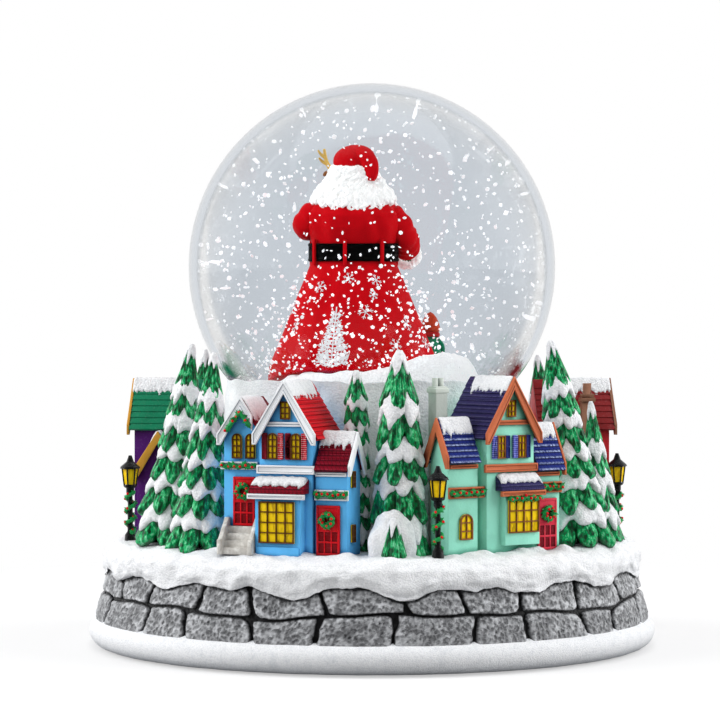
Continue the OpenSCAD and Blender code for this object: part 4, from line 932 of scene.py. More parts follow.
# Rings of curls: count, share of the height at root and tip, radius and width
HAIR_RINGS = (
    (40, 0.795, 0.745, 10.0, 0.72), (40, 0.815, 0.765, 9.5, 0.72), (38, 0.835, 0.785, 8.5, 0.7),
    (36, 0.853, 0.805, 7.5, 0.68), (32, 0.872, 0.825, 6.8, 0.66), (28, 0.89, 0.848, 6.2, 0.62),
    (24, 0.905, 0.868, 5.8, 0.56), (20, 0.918, 0.886, 5.4, 0.5),
)
# Rows of the beard: count, share of the height at root and tip, and reach
BEARD_ROWS = ((9, 0.825, 0.70, 8.6), (8, 0.828, 0.735, 8.8), (7, 0.83, 0.765, 8.6))
# Tail of the cap: x, y, share of the height and radius
CAP_TAIL = (
    (0.0, 0.2, 0.945, 3.2), (1.4, -0.6, 0.952, 2.9), (2.8, -1.8, 0.946, 2.6), (3.8, -3.0, 0.924, 2.3),
    (4.3, -4.2, 0.895, 1.9), (4.4, -5.0, 0.868, 1.45), (4.3, -5.2, 0.85, 0.9),
)


def body_z(share):
    """Height on the figure, from 0 at the hem to 1 at the top of the cap."""
    return HEM_Z + FIGURE_H * share


def on_figure(x, y, share):
    """Point by its distances from the figure's axis and its share of the height."""
    return vec(FIGURE_X + x, FIGURE_Y + y, body_z(share))


def robe_radius(angle, share):
    """Radius of the robe with its folds."""
    for (t0, r0), (t1, r1) in zip(ROBE_LINE, ROBE_LINE[1:]):
        if share <= t1:
            radius = r0 + (r1 - r0) * (share - t0) / (t1 - t0)
            break
    else:
        radius = ROBE_LINE[-1][1]
    if share < WAIST_T:
        loose = 1 - max(share, 0) / WAIST_T
        fold = 0.3 * sin(5 * angle + 0.4) + 0.16 * sin(11 * angle + 2.2 + share * 3)
        crease = exp(-((angle + 2.2 + 0.25 * share) / 0.07) ** 2) - 0.6 * exp(-((angle + 2.05) / 0.08) ** 2)
        swell = fold * (0.3 + 0.9 * loose) + 0.45 * crease * (0.4 + 0.6 * loose)
        radius += swell * min(1, (WAIST_T - share) * 14)
    elif share > WAIST_T + BELT_T:
        slack = sin(pi * min(1, (share - WAIST_T - BELT_T) / 0.2))
        radius += slack * (0.3 * sin(9 * angle + 1) + 0.22 * sin(14 * angle + share * 30))
    return radius


def robe_point(angle, share, proud=0.0):
    """Point on the robe."""
    radius = robe_radius(angle, share) + proud
    return on_figure(radius * cos(angle), radius * sin(angle), share)


def arm_way(arm):
    """Direction of the lower arm."""
    return (on_figure(*arm[2]) - on_figure(*arm[1])).normalized()


def robe_frame(angle, share, proud):
    """Frame on the robe: x along the girth, y up the slope, z out."""
    at = robe_point(angle, share, proud)
    side = (robe_point(angle + 0.02, share) - robe_point(angle - 0.02, share)).normalized()
    above, below = robe_point(angle, min(share + 0.01, 0.78)), robe_point(angle, max(share - 0.01, -0.05))
    up = (above - below).normalized()
    out = side.cross(up).normalized()
    up = out.cross(side)
    return Matrix.Translation(at) @ Matrix((side, up, out)).transposed().to_4x4()


def sleeve(arm):
    """Sleeve with soft creases round one arm."""
    shoulder, elbow, wrist = [on_figure(*joint) for joint in arm]
    hand = 1 if shoulder.x > FIGURE_X else -1
    outer = shoulder.lerp(elbow, 0.55) + vec(0.3 * hand, -0.7, 0.6)
    under = elbow.lerp(wrist, 0.4) + vec(0.5 * hand, 0, -0.3)
    path = curve_through([shoulder, outer, elbow, under, wrist], 9)
    radii = []
    for i in range(len(path)):
        share = i / (len(path) - 1)
        swell = 4.15 - 1.2 * share + 0.2 * sin(share * 34 + shoulder.x)
        radii.append(swell * min(1.0, sqrt(min(share, 1 - share) * 26 + 0.12)))
    bm = tube(path, radii, 28)
    for vert in bm.verts:
        vert.co += vert.normal * 0.2 * noise.noise(vert.co * 0.6)
    return bm


class SNOWGLOBE_OT_robe(bpy.types.Operator):
    """Red robe with its sleeves and belt loops"""

    bl_idname = "snowglobe.robe"
    bl_label = "Robe"

    def execute(self, context):
        rows = 70
        low, top = ROBE_LINE[0][0], ROBE_LINE[-1][0]

        def place(angle, row):
            if row in (0, rows - 1):
                return on_figure(0, 0, top if row else low)
            return robe_point(angle, low + (top - low) * (row - 1) / (rows - 3))

        bm = spun(rows, 180, place)
        for arm in ARMS:
            add_to(bm, sleeve(arm))
        for turn in BELT_LOOPS:
            at = robe_frame(radians(turn), WAIST_T + BELT_T / 2, 1.05)
            loop = bmesh.new()
            size = Matrix.Diagonal((0.95, FIGURE_H * BELT_T + 1.8, 0.8, 1))
            bmesh.ops.create_cube(loop, size=1.0, matrix=at @ size)
            soften(loop, 0.25, 3)
            add_to(bm, loop)
        dark = srgb(120, 0, 6)
        red = paint("robe_red", colours().robe, dark, 0.5, 0.55, 0.1, shine=0.05, broad=70.0, thin=0.0)
        piece("red_robe", bm, [red], ("santa_robe",))
        return {"FINISHED"}


def along_robe(angle, share, way, tilt):
    """Angle and share of the height after a way over the robe that climbs by tilt."""
    return angle + way * cos(tilt) / robe_radius(angle, share), share + way * sin(tilt) / FIGURE_H


def bar_on_robe(bm, angle, share, length, width, tilt):
    """Thin painted bar that lies on the robe."""
    steps = max(1, int(length / 1.2))
    for k in range(steps):
        turn, high = along_robe(angle, share, (k + 0.5) / steps * length, tilt)
        if high < -0.035 or high > WAIST_T - 0.01:
            continue
        at = robe_frame(turn, high, 0.02) @ Matrix.Rotation(tilt, 4, "Z")
        size = Matrix.Diagonal((length / steps * 1.12, width, 0.16, 1))
        bmesh.ops.create_cube(bm, size=1.0, matrix=at @ size)


def dab_on_robe(bm, angle, share, size):
    """Round painted dab that lies on the robe."""
    at = robe_frame(angle, share, 0.03)
    bmesh.ops.create_cone(
        bm, cap_ends=True, segments=7, radius1=size, radius2=size * 0.6, depth=0.2, matrix=at
    )


class SNOWGLOBE_OT_robe_print(bpy.types.Operator):
    """White frost painted on the robe: six-armed flakes, a frosted tree and a dusting at the hem"""

    bl_idname = "snowglobe.robe_print"
    bl_label = "Robe frost"

    def execute(self, context):
        rng = random.Random(21)
        bm = bmesh.new()
        for azimuth, share, span in ROBE_FLAKES:
            angle = radians(azimuth)
            start = rng.uniform(0, 1)
            for arm in range(6):
                tilt = start + arm * tau / 6
                bar_on_robe(bm, angle, share, span, 0.19, tilt)
                turn, high = along_robe(angle, share, span * 0.62, tilt)
                for lean in (-0.8, 0.8):
                    bar_on_robe(bm, turn, high, span * 0.34, 0.16, tilt + lean)
        middle = radians(-108)
        for tier in range(15):
            share = -0.025 + tier * 0.0185
            half = 4.9 * (1 - tier / 16.5) * rng.uniform(0.85, 1.1)
            for side in (-1, 1):
                tilt = pi / 2 - side * rng.uniform(1.2, 1.5)
                bar_on_robe(bm, middle, share, half, 0.34, tilt)
                for _ in range(int(half * 5.5)):
                    turn, high = along_robe(middle, share, half * rng.uniform(0.1, 1.0), tilt)
                    length = rng.uniform(0.5, 1.2)
                    bar_on_robe(bm, turn, high, length, 0.24, tilt + rng.choice((-0.9, 0.9, -0.5, 0.5)))
        bar_on_robe(bm, middle, -0.03, 17.0, 0.34, pi / 2)
        for _ in range(190):
            share = -0.03 + 0.44 * rng.random() ** 2.6
            dab_on_robe(bm, rng.uniform(-pi, pi), share, rng.uniform(0.1, 0.22))
        white = paint("frost_white", (0.9, 0.91, 0.93), (0.6, 0.64, 0.7), 0.2, 0.5, 0.2)
        piece("robe_frost", bm, [white], crease=40)
        return {"FINISHED"}


class SNOWGLOBE_OT_belt(bpy.types.Operator):
    """Black belt round the robe"""

    bl_idname = "snowglobe.belt"
    bl_label = "Belt"

    def execute(self, context):
        low = body_z(WAIST_T) + 0.12
        high = body_z(WAIST_T + BELT_T) - 0.12
        inner = WAIST_R + 0.06
        outer = WAIST_R + 0.8
        outline = (
            (inner, low), (outer - 0.25, low), (outer, low + 0.25), (outer, low + 0.6),
            (outer - 0.14, low + 0.75), (outer - 0.14, high - 0.75), (outer, high - 0.6),
            (outer, high - 0.25), (outer - 0.25, high), (inner, high), (inner, low),
        )
        bm = turned(outline, 96, (FIGURE_X, FIGURE_Y))
        jet = (0.002, 0.002, 0.002)
        black = paint("belt_black", jet, (0.0, 0.0, 0.0), 0.3, 0.5, 0.1, shine=0.03, thin=0.0)
        piece("black_belt", bm, [black], ("santa_belt",))
        return {"FINISHED"}


def lock(root, tip, width, sag, rng):
    """One tapered lock of hair from root to tip."""
    middle = (root + tip) / 2 + vec(rng.uniform(-0.4, 0.4), rng.uniform(-0.4, 0.4), sag)
    path = curve_through([root, middle, tip], 3)
    count = len(path) - 1
    radii = [width * (0.35 + 0.65 * sin(pi * min(1.0, 0.25 + 0.75 * i / count))) for i in range(count)]
    return tube(path, radii + [width * 0.12], 6)


def ringlet(root, tip, way, width, rng):
    """One curled lock from root to tip that bows out along way."""
    side = vec(-way.y, way.x, 0)
    swing = rng.uniform(0.45, 0.95)
    phase = rng.uniform(0, tau)
    turns = rng.uniform(1.0, 1.6) * rng.choice((-1, 1))
    path = []
    radii = []
    for k in range(12):
        share = k / 11
        curl = phase + turns * tau * share
        loose = swing * (0.3 + 0.7 * share)
        bow = way * (0.9 * sin(pi * share) + 0.45 * loose * cos(curl))
        path.append(root.lerp(tip, share) + bow + side * loose * sin(curl))
        radii.append(width * (0.45 + 0.55 * sin(pi * (0.15 + 0.78 * share))))
    return tube(path, radii, 6)


def hair_and_beard():
    """Curled hair, beard, moustache and brows."""
    rng = random.Random(5)

    def mane(angle, row):
        share, radius = HAIR_LINE[row]
        back = max(0.0, -sin(angle)) ** 2
        radius *= 1 - 0.35 * max(0.0, sin(angle))
        share -= 0.03 * back * (0.91 - share) / 0.15
        return on_figure(radius * cos(angle), radius * sin(angle), share)

    hair = spun(len(HAIR_LINE), 72, mane)
    close_holes(hair)
    for vert in hair.verts:
        vert.co.y = min(vert.co.y, FIGURE_Y + 2.2)
    for number, (count, high, low, out, width) in enumerate(HAIR_RINGS):
        for i in range(count):
            angle = radians(140 + 260 * (i + 0.5 * (number % 2) + rng.uniform(-0.25, 0.25)) / count)
            drop = 0.03 * max(0.0, -sin(angle)) ** 2 * (0.92 - high) / 0.12
            way = vec(cos(angle), sin(angle), 0)
            root = on_figure(0, 0, high - drop * 0.6) + way * (out - 1.8)
            reach = way * out * rng.uniform(0.95, 1.02)
            tip = on_figure(0, 0, low - drop) + reach + vec(0, 0, rng.uniform(-0.5, 0.5))
            add_to(hair, ringlet(root, tip, way, width * rng.uniform(0.6, 1.0), rng))
    for count, high, low, out in BEARD_ROWS:
        for i in range(count):
            swing = radians(90 + (i - (count - 1) / 2) * 108 / count)
            root = on_figure(5.0 * cos(swing), 1.0 + 4.6 * sin(swing), high)
            tip = on_figure(out * 0.72 * cos(swing), 1.4 + (out - 1.4) * sin(swing), low)
            tip.z += rng.uniform(-0.4, 0.4)
            add_to(hair, lock(root, tip, 1.15, 0.3, rng))
    for side in (-1, 1):
        for k in range(3):
            root = on_figure(side * 0.3, 6.6 - 0.1 * k, 0.832) - vec(0, 0, 0.35 * k)
            tip = on_figure(side * (3.4 - 0.3 * k), 5.4, 0.818) - vec(0, 0, 0.9 * k)
            add_to(hair, lock(root, tip, 0.62, 0.35, rng))
        root = on_figure(side * 0.9, 5.75, 0.889)
        add_to(hair, lock(root, on_figure(side * 2.8, 5.1, 0.886), 0.42, 0.25, rng))
    return hair


def calm_face():
    """Head with cheeks, nose, eyes and lips."""
    face = bmesh.new()
    bmesh.ops.create_uvsphere(face, u_segments=48, v_segments=32, radius=4.7)
    for vert in face.verts:
        x, y, z = vert.co
        if y > 0:
            for side in (-1, 1):
                cheek = exp(-((x - side * 2.0) ** 2 + (z + 0.5) ** 2) / 1.3)
                socket = exp(-((x - side * 1.55) ** 2 + (z - 1.0) ** 2) / 0.55)
                vert.co.y += 0.45 * cheek - 0.4 * socket
            vert.co.y += 0.3 * exp(-(x ** 2 + (z - 0.9) ** 2) / 0.5)
        vert.co += on_figure(0, 1.2, HEAD_T)
    nose = on_figure(0, 6.05, HEAD_T) + vec(0, 0, 0.05)
    add_to(face, lump(nose, 0.95, 3, 0.05, 2, (0.95, 0.9, 0.85)))
    for side in (-1, 1):
        eye = on_figure(side * 1.55, 5.45, HEAD_T) + vec(0, 0, 0.95)
        add_to(face, lump(eye, 0.46, 3, shape=(1.15, 0.6, 0.85)), 1)
        add_to(face, lump(eye + vec(0, 0.2, 0), 0.24, 2, shape=(1, 0.5, 1)), 2)
        corners = [eye + vec(x, 0.1, 0.1) for x in (-0.62, 0.62)]
        lid = curve_through([corners[0], eye + vec(0, 0.3, 0.48), corners[1]], 4)
        add_to(face, tube(lid, [0.1 + 0.06 * sin(pi * i / (len(lid) - 1)) for i in range(len(lid))], 6))
    lip = curve_through([on_figure(-1.2, 5.6, 0.81), on_figure(0, 6.1, 0.806), on_figure(1.2, 5.6, 0.81)], 5)
    add_to(face, tube(lip, [0.3] * len(lip), 8), 3)
    return face


def cap_with_tail():
    """Cap whose tail falls to the right and back."""
    cap = bmesh.new()
    bmesh.ops.create_uvsphere(cap, u_segments=48, v_segments=24, radius=1.0)
    for vert in cap.verts:
        x, y, z = vert.co * (1 + 0.03 * noise.noise(vert.co * 2.2))
        vert.co = on_figure(-0.4 + 4.6 * x, 0.4 + 4.7 * y, 0.925) + vec(0, 0, 4.1 * z)
    bmesh.ops.bisect_plane(
        cap, geom=cap.verts[:] + cap.edges[:] + cap.faces[:], dist=0.001, plane_co=(0, 0, body_z(0.893)),
        plane_no=(0, 0, 1), clear_inner=True,
    )
    close_holes(cap)
    path = curve_through([on_figure(x, y, share) for x, y, share, _ in CAP_TAIL], 5)
    girth = curve_through([(row[3], 0, 0) for row in CAP_TAIL], 5)
    tail = tube(path, [item.x for item in girth], 36)
    for vert in tail.verts:
        vert.co += vert.normal * 0.16 * noise.noise(vert.co * 0.45)
    add_to(cap, tail)
    return cap


def bobble_and_cuffs():
    """Fluffy bobble of the cap and cuffs of the sleeves."""
    fur = bmesh.new()
    tufts = 34
    for i in range(tufts):
        up = 1 - 2 * (i + 0.5) / tufts
        spot = on_figure(6.5, -4.1, 0.838) + ring(sqrt(1 - up * up), i * GOLDEN_TURN, up) * 1.05
        add_to(fur, lump(spot, 0.6, 1, 0.5, i + 70))
    for arm in ARMS:
        way = arm_way(arm)
        wrist = on_figure(*arm[2]) + way * 3.4
        across = way.cross(vec(0, 0, 1)).normalized()
        up = across.cross(way)
        for i in range(24):
            angle = tau * i / 24
            for k in (-0.55, 0.55):
                spot = wrist + way * k + (across * cos(angle) + up * sin(angle)) * 2.6
                add_to(fur, lump(spot, 0.85, 1, 0.5, i + 120 * k))
    return fur


def pair_of_mittens():
    """Mittens with their thumbs."""
    mittens = bmesh.new()
    for arm in ARMS:
        way = arm_way(arm)
        start = on_figure(*arm[2]) + way * 4.4
        end = on_figure(*arm[2]) + way * 9.0
        path = curve_through([start, (start + end) / 2 + vec(0, 0, 0.3), end], 5)
        count = len(path) - 1
        radii = [1.75 * sqrt(max(0.04, 1 - ((i / count - 0.45) / 0.6) ** 2)) for i in range(count + 1)]
        add_to(mittens, tube(path, radii, 18))
        inward = vec(1 if start.x < FIGURE_X else -1, 0, 0)
        root = start + inward * 0.6 + way * 1.2 + vec(0, 0, 1.1)
        thumb = curve_through([root, start + inward * 1.4 + way * 2.2 + vec(0, 0, 2.1)], 4)
        add_to(mittens, tube(thumb, [0.7, 0.72, 0.68, 0.55, 0.25], 12))
    return mittens


class SNOWGLOBE_OT_head(bpy.types.Operator):
    """Face, hair, beard, cap, bobble, cuffs and mittens"""

    bl_idname = "snowglobe.head"
    bl_label = "Head"

    def execute(self, context):
        white = snow_finish("hair_white", srgb(252, 252, 251), srgb(224, 222, 219), 900, 0.25, 0.15)
        # Painted glow brightens the hair, beard and fur
        piece("white_hair", hair_and_beard(), [add_painted_glow(white, 0.2)], ("santa_hair",))
        skin = paint("skin", srgb(236, 190, 164), srgb(200, 118, 98), 0.4, 0.5, 0.08)
        eye_white = paint("eye_white", (0.85, 0.85, 0.84), (0.6, 0.55, 0.5), 0.2, 0.3, 0.02)
        eye_dark = paint("eye_dark", (0.03, 0.05, 0.09), (0.01, 0.01, 0.01), 0.2, 0.2, 0.02)
        lips = paint("lip_rose", srgb(196, 96, 92), srgb(150, 60, 60), 0.3, 0.45, 0.05)
        piece("calm_face", calm_face(), [skin, eye_white, eye_dark, lips], ("santa_face",))
        piece("red_cap", cap_with_tail(), [FINISHES["robe_red"]], ("santa_hat",))
        piece("white_fur", bobble_and_cuffs(), [white], ("santa_fur",))
        green = paint("mitten_green", srgb(28, 96, 54), None, 0.5, 0.6, 0.5, fine=2600)
        piece("green_mittens", pair_of_mittens(), [green], ("santa_mittens",))
        return {"FINISHED"}


def on_deer(x, y, share):
    """Point by its distances from the deer's axis and its share of the figure's height."""
    return on_figure(DEER_X + x, DEER_Y + y, share)


def deer_body():
    """Toy deer with its ears, eyes and muzzle."""
    spine = curve_through([on_deer(0, 0, 0.735), on_deer(0, -0.2, 0.772), on_deer(0, 0.2, 0.808)], 6)
    deer = tube(spine, [2.0, 2.35, 2.45, 2.4, 2.2, 1.95, 1.75, 1.65, 1.6, 1.62, 1.7, 1.75, 1.2], 20)
    add_to(deer, lump(on_deer(0, 0.5, 0.825), 2.0, 3, 0.04, 1, (0.95, 1.0, 0.95)))
    add_to(deer, lump(on_deer(0, 2.6, 0.811), 1.35, 3, 0.04, 2, (0.9, 1.1, 0.8)), 1)
    for side in (-1, 1):
        line = ((1.4, 0.2, 0.843), (2.6, 0, 0.853), (3.4, -0.1, 0.845))
        ear = curve_through([on_deer(side * x, y, share) for x, y, share in line], 4)
        add_to(deer, tube(ear, [0.35, 0.6, 0.75, 0.8, 0.75, 0.6, 0.45, 0.3, 0.12], 10))
        add_to(deer, lump(on_deer(side * 0.95, 2.0, 0.836), 0.3, 2), 2)
    add_to(deer, lump(on_deer(0, 3.95, 0.815), 0.4, 2, shape=(1.2, 0.8, 0.9)), 2)
    return deer


def antler_pair():
    """Antlers with two tines each."""
    antlers = bmesh.new()
    for side in (-1, 1):
        root = on_deer(side * 1.1, -0.1, 0.856)
        stem = curve_through([root, root + vec(side * 1.5, -0.5, 2.6), root + vec(side * 2.1, -0.9, 5.6)], 6)
        add_to(antlers, tube(stem, [0.66 - 0.03 * i for i in range(len(stem))], 10))
        for step, out, up in ((5, 2.0, 1.4), (8, 1.7, 1.6)):
            foot = stem[step]
            bend = foot + vec(side * out * 0.6, 0.2, up * 0.4)
            tine = curve_through([foot, bend, foot + vec(side * out, 0.3, up)], 4)
            add_to(antlers, tube(tine, [0.52 - 0.04 * i for i in range(len(tine))], 8))
    return antlers


def doll_body():
    """Little doll with a dress, a hood and a scarf."""
    x, y, z = FIGURE_X + DOLL_OFF * cos(DOLL_WAY), FIGURE_Y + DOLL_OFF * sin(DOLL_WAY), DOLL_Z
    dress_line = (
        (0, z), (3.1, z), (3.35, z + 0.5), (3.0, z + 1.6), (2.3, z + 4.2), (1.7, z + 6.4), (1.5, z + 7.2),
        (0.6, z + 7.7), (0, z + 7.7),
    )
    doll = turned(dress_line, 40, (x, y))
    add_to(doll, lump((x, y, z + 8.9), 1.75, 3), 1)
    hood_line = (
        (0, z + 12.9), (0.7, z + 12.5), (1.4, z + 11.6), (1.95, z + 10.4), (2.2, z + 9.4), (2.1, z + 8.6),
        (1.7, z + 8.2), (0, z + 9.0),
    )
    hood = turned(hood_line, 32, (x, y))
    for vert in hood.verts:
        vert.co.y -= 0.35
    add_to(doll, hood, 2)
    scarf_line = ((1.3, z + 7.1), (2.0, z + 7.3), (2.15, z + 7.8), (1.9, z + 8.3), (1.2, z + 8.4))
    add_to(doll, turned(scarf_line, 32, (x, y)), 3)
    for side in (-1, 1):
        line = ((1.4, 0, 6.6), (2.5, 0.6, 5.2), (2.4, 1.4, 3.9))
        arm = curve_through([(x + side * out, y + ahead, z + up) for out, ahead, up in line], 5)
        add_to(doll, tube(arm, [0.7] * 5 + [0.62] * 5 + [0.45], 12))
    return doll


class SNOWGLOBE_OT_toys(bpy.types.Operator):
    """Toy deer on the arm and little doll by the hem"""

    bl_idname = "snowglobe.toys"
    bl_label = "Toys"

    def execute(self, context):
        brown = paint("toy_brown", srgb(142, 92, 54), None, 0.5, 0.5, 0.4)
        tan = paint("toy_tan", srgb(196, 150, 104), None, 0.4, 0.5, 0.3)
        dark = paint("toy_dark", (0.02, 0.018, 0.016), None, 0.2, 0.25, 0.05)
        piece("toy_deer", deer_body(), [brown, tan, dark], ("toy_reindeer",))
        shine = {"Bright": srgb(246, 212, 112), "Dull": srgb(206, 158, 62)}
        gold = surface("toy_gold", "metal", shine, bump=0.1, metallic=0.2)
        piece("gold_antlers", antler_pair(), [gold], ("toy_antlers",))
        green = paint("toy_green", srgb(16, 132, 92), None, 0.5, 0.4, 0.2)
        hair = paint("toy_hair", srgb(196, 62, 26), None, 0.5, 0.4, 0.5)
        scarf = paint("toy_scarf", srgb(190, 26, 30), None, 0.5, 0.5, 0.3)
        finishes = [green, FINISHES["skin"], hair, scarf]
        piece("toy_doll_dressed", doll_body(), finishes, ("toy_doll",))
        return {"FINISHED"}


# Base


def mortar_r(z):
    """Radius of the mortar face at a height."""
    return STONE_FOOT_R - STONE_PROUD - STONE_LEAN * (z - RIM_H) / (DECK_Z - RIM_H)


def apart(first, second):
    """Degrees between two azimuths."""
    return abs((first - second + 540) % 360 - 180)


def lip_low(azimuth):
    """Height of the lower edge of the snow lip."""
    hang = 0.0
    for middle, half, depth in DRIPS:
        away = apart(azimuth, middle)
        if away < half:
            hang = max(hang, depth * (0.5 + 0.5 * cos(pi * away / half)))
    return DECK_Z - 2.4 - hang


def bed_joint(azimuth):
    """Height of the wavy joint between the two courses."""
    turn = radians(azimuth)
    return COURSE_MID + 0.75 * sin(5 * turn + 0.6) + 0.5 * sin(9 * turn + 2.0) + 0.3 * sin(23 * turn)


def joint_slant(azimuth):
    """Lean of an upright joint, shared by the stones on both sides."""
    return 2.4 * sin(azimuth % 360 * 1.7)


def stone(bm, layer, start, end, upper, seed):
    """Adds one chiselled stone between two upright joints."""
    rng = random.Random(seed)
    wide = max(16, int((end - start) * 3.2))
    tall = 24
    made = bmesh.ops.create_grid(bm, x_segments=wide, y_segments=tall, size=1.0)["verts"]
    gap = degrees(JOINT_W / STONE_FOOT_R) / 2
    slant = [joint_slant(start), joint_slant(end)]
    relief = sizes().stone_relief / MM
    shift = vec(seed * 3.7, seed * 1.3, seed * 2.1)
    bow = [rng.uniform(0.86, 1.0) for _ in range(4)]
    for vert in made:
        u, v = vert.co.x, vert.co.y
        corner = bow[(0 if u < 0 else 1) + (0 if v < 0 else 2)]
        u2 = u * sqrt(1 - (1 - corner) * 1.4 * v ** 4)
        v2 = v * sqrt(1 - (1 - corner) * 1.8 * u ** 6)
        left = start + gap + slant[0] * v2 * 0.5 + 0.35 * noise.noise(vec(v2 * 2.2, seed, 1.5))
        right = end - gap + slant[1] * v2 * 0.5 + 0.35 * noise.noise(vec(v2 * 2.2, seed, 8.5))
        azimuth = left + (right - left) * (u2 + 1) / 2
        joint = bed_joint(azimuth)
        low = joint + JOINT_W * 0.24 if upper else RIM_H - 1.6
        high = COURSE_TOP if upper else joint - JOINT_W * 0.24
        z = low + (high - low) * (v2 + 1) / 2
        joined = max(0.0, -v if upper else v)
        edge = max(abs(u) ** (wide * 0.7), 0.8 * joined ** 18)
        spot = polar(azimuth, STONE_FOOT_R, z)
        dent = noise.voronoi(spot * 0.66 + shift)[0][0]
        small = noise.voronoi(spot * 1.2 + shift)[0][0]
        broad = noise.fractal(spot * 0.22 + shift, 0.9, 2.0, 3)
        height = 0.6 * (dent - 0.45) + 0.6 * (small - 0.45) + 0.25 * broad
        near = max(abs(u) ** 5, joined ** 4)
        calm = smooth_step(z, RIM_H + 0.6, RIM_H + 3.0)
        proud = STONE_PROUD * (1 - 0.8 * edge) + relief * calm * (height * (1 - 0.5 * near) + 0.12)
        radius = mortar_r(z) + max(0.12, min(proud, STONE_PROUD + 0.7))
        vert.co = polar(azimuth, radius, z)
        # Painted light and shade in the relief value: tops and faces by the joints lighter as painted
        # highlight, pits and the rounding into the joints darker as painted shade
        shade = 0.38 + 0.95 * height + 0.34 * near - 0.9 * edge
        # Painted shadow under the snow lip along the tops of the upper stones
        if upper:
            shade -= smooth_step(z, lip_low(azimuth) - 1.1, lip_low(azimuth) - 0.1)
        vert[layer] = max(-0.5, min(1.0, shade))
    fresh = set(made)
    rim = [e for e in bm.edges if e.is_boundary and e.verts[0] in fresh and e.verts[1] in fresh]
    sunk = bmesh.ops.extrude_edge_only(bm, edges=rim)["geom"]
    for vert in [g for g in sunk if isinstance(g, bmesh.types.BMVert)]:
        back = vec(vert.co.x, vert.co.y, 0).normalized() * (mortar_r(vert.co.z) + 0.05)
        vert.co = vec(back.x, back.y, vert.co.z)
        vert[layer] = 0.0
    open_edges = [g for g in sunk if isinstance(g, bmesh.types.BMEdge) and g.is_boundary]
    bmesh.ops.holes_fill(bm, edges=open_edges, sides=0)


class SNOWGLOBE_OT_stones(bpy.types.Operator):
    """Two courses of chiselled stones and the mortar behind them"""

    bl_idname = "snowglobe.stones"
    bl_label = "Stones"

    def execute(self, context):
        courses = (("upper_stones", UPPER_JOINTS, True, 1.0), ("lower_stones", LOWER_JOINTS, False, 0.86))
        for name, joints, upper, tone in courses:
            bm = bmesh.new()
            layer = bm.verts.layers.float.new("relief")
            for i, start in enumerate(joints):
                end = joints[i + 1] if i + 1 < len(joints) else joints[0] + 360
                stone(bm, layer, start, end, upper, i + (40 if upper else 0))
            bmesh.ops.recalc_face_normals(bm, faces=bm.faces)
            light = tuple(part * tone for part in colours().stone)
            values = {"Light": light, "Dark": srgb(44, 45, 48), "Scale": 420.0, "Carved": 1.0}
            grey = surface(name + "_grey", "stone", values, bump=0.9, depth=0.0006, coat=0.25)
            piece("chiselled_" + name, bm, [grey], (name,))
        mortar = {"Light": srgb(34, 35, 38), "Dark": srgb(8, 8, 9), "Scale": 400.0}
        dress("base_casting", surface("mortar_dark", "stone", mortar, bump=0.5))
        return {"FINISHED"}


# Heaps at the feet of the houses: arc of the house, then rows of x, spread and rise
SIDE_HEAPS = ((-6.0, 3.0, 1.4), (6.0, 3.0, 1.4))
FOOT_HEAPS = (
    (BLUE_ARC, (
        (-22.5, 3.0, 1.6), (-8.0, 2.6, 1.2), (-4.5, 2.8, 1.0), (0.5, 3.0, 1.2), (6.5, 2.8, 1.5),
        (20.5, 3.0, 1.6),
    )),
    (MINT_ARC, (
        (-22.5, 3.0, 1.6), (-17.0, 2.8, 1.1), (-11.0, 2.8, 1.5), (-5.0, 2.6, 1.0), (4.0, 3.0, 1.1),
        (9.5, 2.6, 1.4), (20.5, 3.0, 1.7),
    )),
    (PURPLE_ARC, SIDE_HEAPS), (RED_ARC, SIDE_HEAPS),
)


def snow_heaps():
    """Heaps of snow at the feet of the houses, trees and lamps: x, y, spread and rise."""
    heaps = []
    for arc, out, _, wide, *_ in TALL_PINES + SMALL_PINES:
        spot = polar(degrees(arc / FRONT_R), pine_away(out, wide) + 0.35 * PINE_R * wide, 0)
        heaps.append((spot.x, spot.y, PINE_R * wide * 0.75, 1.1))
    for arc, inset in LAMPS:
        spot = polar(degrees(arc / FRONT_R), PLATEAU_R - inset, 0)
        heaps.append((spot.x, spot.y, 2.6, 0.7))
    for arc, feet in FOOT_HEAPS:
        for x, span, rise in feet:
            spot = house_place(arc) @ vec(x, -1.2, 0)
            heaps.append((spot.x, spot.y, span, rise))
    return heaps


